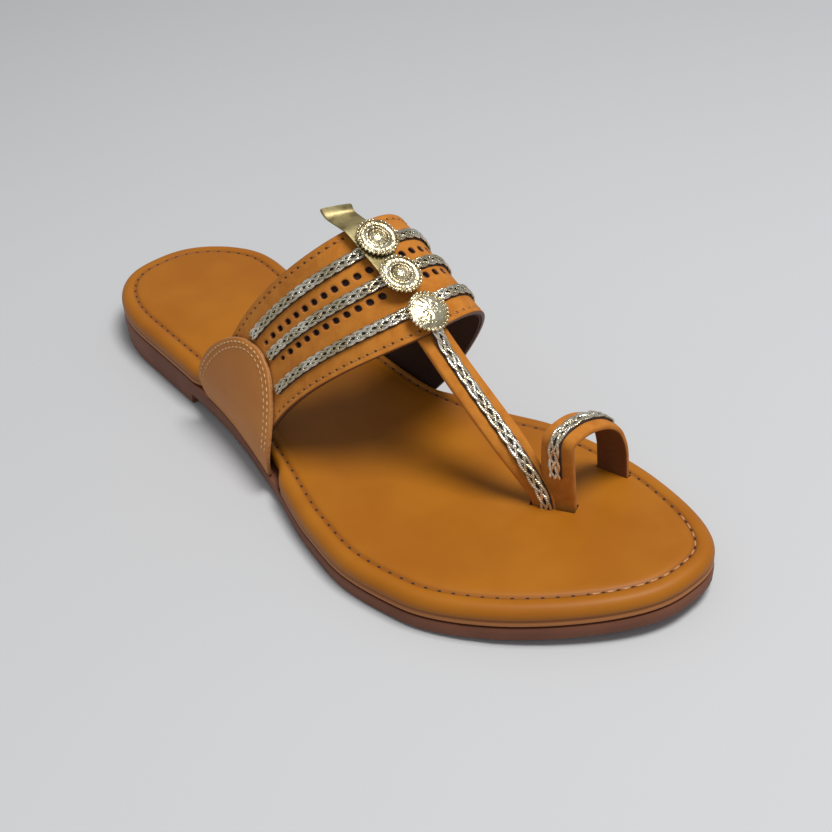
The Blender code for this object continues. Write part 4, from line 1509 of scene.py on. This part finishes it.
def smooth_leather(name, light, deep, wrapped=False):
    """Satin leather. The footbed's wrap also has a pared band low on its side, and painted shade darkens the
    crease in its side and its groove.
    """
    finish = Finish(name, Coat_Roughness=0.38, Specular_IOR_Level=0.22)
    where = finish.places()
    clouds = finish.noise(where, 38.0, 3.0)
    pores = finish.noise(where, 2600.0, 2.0)
    folds = finish.noise(where, 420.0, 3.0)
    colour = finish.blend(finish.step(clouds, 0.30, 0.72), deep, light)
    if wrapped:
        height, inset = finish.pattern()
        pared = 1 - finish.step(height, CREASE_HEIGHT - 0.0003, CREASE_HEIGHT)
        # painted shade: a dark line along the crease in the side and along the stitched groove
        crease_shade = 1 - finish.step(height.distance(CREASE_HEIGHT + 0.0003), 0.0001, 0.0009)
        groove_shade = 1 - finish.step(inset.distance(GROOVE_INSET), 0.0002, 0.0010)
        colour = finish.blend(pared * 0.85, colour, PARED_TAN)
        colour = finish.blend((crease_shade * 0.7 + groove_shade * 0.45).clip(), colour, CUT_EDGE_AND_PAINTED_SHADE)
    finish.set("Base Color", colour)
    finish.set("Roughness", 0.44 + pores * 0.10 + clouds * 0.06)
    finish.set("Coat Weight", 0.03 + clouds * 0.04)
    finish.relief(pores * 0.6 + folds * 0.8, 0.00006, 0.5)
    return finish.material


def sanded(name):
    """A finish for nubuck, with its nap, its brush marks and its tan."""
    finish = Finish(name, Sheen_Weight=0.05, Sheen_Roughness=0.5, Specular_IOR_Level=0.15)
    where = finish.places()
    nap = finish.noise(where, 3400.0, 2.0, 0.6)
    brushed = finish.noise(where, 260.0, 4.0, 0.6)
    clouds = finish.noise(where, 60.0, 2.0)
    tone = finish.step(brushed * 0.5 + clouds * 0.3 + nap * 0.2, 0.36, 0.62)
    return finish, nap, brushed, finish.blend(tone, NUBUCK_DEEP, NUBUCK_TAN)


def nubuck(name):
    finish, nap, brushed, tan = sanded(name)
    finish.set("Base Color", tan)
    finish.set("Roughness", 0.80 + nap * 0.12)
    finish.relief(nap + brushed * 0.7, 0.00009, 0.6)
    return finish.material


def plain_leather(name, colour, shade, roughness):
    finish = Finish(name)
    where = finish.places()
    grain = finish.noise(where, 1500.0, 3.0)
    finish.set("Base Color", finish.blend(finish.step(grain, 0.35, 0.65), shade, colour))
    finish.set("Roughness", roughness + grain * 0.1)
    finish.relief(grain, 0.00005, 0.5)
    return finish.material


leather = smooth_leather("smooth_tan_leather", TAN, TAN_DEEP, wrapped=True)
flap_leather = smooth_leather("flap_leather", FLAP_TAN, FLAP_DEEP)
strap_nubuck = nubuck("tan_nubuck")
cut_edge = plain_leather("painted_cut_edge", CUT_EDGE_AND_PAINTED_SHADE, (0.09, 0.03, 0.01), 0.42)
pale_edge = plain_leather("rolled_flap_edge", (0.42, 0.19, 0.065), (0.33, 0.13, 0.04), 0.5)
lining = plain_leather("dark_lining", LINING, (0.04, 0.015, 0.008), 0.62)
strap_lining = plain_leather("strap_lining", (0.15, 0.046, 0.008), (0.11, 0.034, 0.006), 0.7)
print("leather finishes:", len(bpy.data.materials))

# %% [markdown]
# On the band the maker's needle leaves a row of pricks along both edges. The shade in them is painted dark
# and they are sunk, by the pattern's own distances, so they keep their pitch as the leather curves.

# %% the band's own nubuck


def pricked_nubuck():
    finish, nap, brushed, tan = sanded("pricked_nubuck")
    run, across = finish.pattern()
    from_middle = across.distance(0.0)
    line = BAND_WIDTH * (STITCH_LINES[1] - 0.5)
    aside = from_middle.distance(line)
    beside = (run + 0.5 * BAND_PITCH).ping_pong(BAND_PITCH / 2)
    prick = (aside * aside * 1.4 + beside * beside).power(0.5)
    # painted shade: each needle hole is darkened towards the shade colour
    dark = 1 - finish.step(prick, 0.00025, 0.00060)
    rim = finish.step(from_middle, BAND_WIDTH / 2 - 0.0006, BAND_WIDTH / 2)
    edged = finish.blend(rim * 0.65, tan, CUT_EDGE_AND_PAINTED_SHADE)
    finish.set("Base Color", finish.blend(dark * 0.9, edged, PRICK_SHADE))
    finish.set("Roughness", 0.80 + nap * 0.12 - rim * 0.25)
    finish.relief(nap * 0.12 + brushed * 0.09 - dark, 0.0005, 0.6)
    return finish.material


band_nubuck = pricked_nubuck()
print("band seam pricks every", BAND_PITCH)

# %% [markdown]
# The sole is dull red-brown rubber. The yarn is foil wound round a thread: bright, with dark turns that
# run aslant. The discs are thin plated metal with small dents, and the strip is duller and greener.

# %% rubber, yarn and metal
YARN_TURN = 0.00034
BRIGHT_GOLD = (0.86, 0.78, 0.56)
DULL_GOLD = (0.54, 0.46, 0.27)


def rubber():
    finish = Finish("red_brown_rubber", Specular_IOR_Level=0.3)
    where = finish.places()
    specks = finish.noise(where, 900.0, 3.0)
    clouds = finish.step(finish.noise(where, 50.0, 2.0), 0.3, 0.7)
    finish.set("Base Color", finish.blend(clouds, (0.145, 0.050, 0.026), (0.190, 0.070, 0.036)))
    finish.set("Roughness", 0.55 + specks * 0.15)
    finish.relief(specks, 0.00008, 0.5)
    return finish.material


def yarn():
    finish = Finish("metallic_yarn", Metallic=1.0)
    around, run = finish.pattern()
    where = finish.places()
    wound = (run + around * 1.6).ping_pong(YARN_TURN) / YARN_TURN
    uneven = finish.noise(where, 700.0, 2.0)
    worn = finish.step(finish.noise(where, 160.0, 2.0), 0.35, 0.65)
    dark = finish.step(wound + uneven * 0.5, 0.98, 1.20)
    foil = finish.blend(worn, (0.66, 0.58, 0.40), (1.0, 0.96, 0.82))
    finish.set("Base Color", finish.blend(dark, foil, (0.045, 0.025, 0.014)))
    finish.set("Roughness", 0.22 + dark * 0.3)
    finish.set("Metallic", 1 - dark * 0.6)
    finish.relief(1 - wound, 0.00012, 0.7)
    return finish.material


def gold(name, bright, dull, dents, depth, roughness, pressed=False):
    """Plated metal. A pressed disc is darker in the ring round its boss and inside its beads."""
    finish = Finish(name, Metallic=1.0)
    where = finish.places()
    hammer = finish.noise(where, dents, 2.0, 0.6)
    tarnish = finish.step(finish.noise(where, 300.0, 3.0), 0.35, 0.65)
    colour = finish.blend(tarnish, dull, bright)
    if pressed:
        x, y = finish.pattern()
        radius = (x * x + y * y).power(0.5) / DISC_RADIUS
        round_boss = 1 - finish.step(radius.distance(0.42), 0.05, 0.13)
        inside_beads = 1 - finish.step(radius.distance(0.83), 0.02, 0.07)
        colour = finish.blend((round_boss + inside_beads) * 0.75, colour, (0.20, 0.145, 0.07))
    finish.set("Base Color", colour)
    finish.set("Roughness", roughness + tarnish * 0.08)
    finish.relief(hammer, depth, 0.8)
    return finish.material


rubber_finish = rubber()
yarn_finish = yarn()
core_finish = plain_leather("dark_braid_core", (0.035, 0.018, 0.010), (0.02, 0.010, 0.006), 0.7)
disc_gold = gold("pale_pressed_gold", BRIGHT_GOLD, DULL_GOLD, 1400.0, 0.00035, 0.20, pressed=True)
hammered_gold = gold("pale_hammered_gold", BRIGHT_GOLD, DULL_GOLD, 1100.0, 0.00040, 0.20)
strip_gold = gold("olive_gold", (0.36, 0.30, 0.15), (0.25, 0.20, 0.09), 900.0, 0.00008, 0.45)
thread_finish = plain_leather("tan_thread", (0.55, 0.30, 0.13), (0.40, 0.19, 0.07), 0.6)
seam_finish = plain_leather("nubuck_thread", (0.43, 0.19, 0.055), (0.33, 0.13, 0.03), 0.7)
prick_shade_finish = plain_leather("painted_prick_shade", PRICK_SHADE, (0.025, 0.010, 0.006), 0.8)
pale_thread = plain_leather("pale_thread", (0.62, 0.42, 0.22), (0.45, 0.27, 0.12), 0.6)
print("finishes:", len(bpy.data.materials))

# %% [markdown]
# Each new piece gets its finishes and rides on the sandal's one body. The solid it stands for is hidden,
# and the names of its slot and of that solid are printed.

# %% dress the pieces and tie them to the frame


def dress(obj, finishes, slot, *nodes):
    wear(obj, *finishes)
    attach(obj, "root")
    if nodes:
        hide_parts(*nodes)
    print(obj.name, "in", slot, "for", nodes or "no solid")


dress(footbed, [leather], "smooth_leather", "footbed")
dress(outsole, [rubber_finish], "sole_rubber", "outsole")
dress(band, [band_nubuck, lining, cut_edge], "nubuck", "upper")
dress(band_lining, [lining], "nubuck", "upper")
for obj in (t_strap, toe_loop):
    dress(obj, [strap_nubuck, strap_lining], "nubuck", "upper")
for name, obj in ears.items():
    dress(obj, [flap_leather, lining, pale_edge], "smooth_leather", name)
for name, (yarns, dark) in cords.items():
    dress(yarns, [yarn_finish], "metallic_braid", name)
    dress(dark, [core_finish], "metallic_braid", name)
for name, obj in discs.items():
    dress(obj, [disc_gold if DISCS[name].press is BOSSED else hammered_gold], "pale_gold", name)
dress(gold_strip, [strip_gold], "pale_gold", "gold_tab")
dress(groove_pit_shade, [prick_shade_finish], "smooth_leather")
dress(toe_thread, [thread_finish], "smooth_leather")
dress(edge_seam, [seam_finish], "nubuck")
for obj in flap_seams.values():
    dress(obj, [pale_thread], "smooth_leather")

# %% [markdown]
# The sandal stands on a sheet of pale paper. A large soft light hangs above and behind it, a weaker one
# fills from the front, and the room's own light keeps the shadows open.

# %% floor and light
FLOOR_GREY = (0.520, 0.528, 0.540)

bpy.ops.mesh.primitive_plane_add(size=6)
floor = bpy.context.active_object
floor.name = "pale_floor"
paper = Finish("pale_paper", Roughness=0.9, Specular_IOR_Level=0.1)
shades = [tuple(c * share for c in FLOOR_GREY) for share in (0.97, 1.03)]
paper.set("Base Color", paper.blend(paper.noise(paper.places(), 3.0), *shades))
wear(floor, paper.material)


def soft_light(name, place, aim, size, power, colour):
    bpy.ops.object.light_add(type="AREA")
    light = bpy.context.active_object
    light.name = name
    light.data.shape = "DISK"
    light.data.size = size
    light.data.energy = power
    light.data.color = colour
    look = (Vector(aim) - Vector(place)).to_track_quat("-Z", "Y").to_matrix().to_4x4()
    light.matrix_world = Matrix.Translation(Vector(place)) @ look
    print(name, "gives", power, "W")


soft_light("overhead_softbox", (-0.10, 0.45, 1.12), (0, 0.09, 0), 0.50, 13.0, (1.0, 0.99, 0.97))
soft_light("front_fill", (0.9, 1.0, 0.9), (0, 0.09, 0), 0.9, 1.5, (0.97, 0.98, 1.0))
world = bpy.data.worlds.new("room")
bpy.context.scene.world = world
world.use_nodes = True
room = world.node_tree.nodes["Background"].inputs
room["Color"].default_value = (0.92, 0.93, 0.96, 1.0)
room["Strength"].default_value = 0.36
bpy.context.scene.view_settings.view_transform = "Standard"
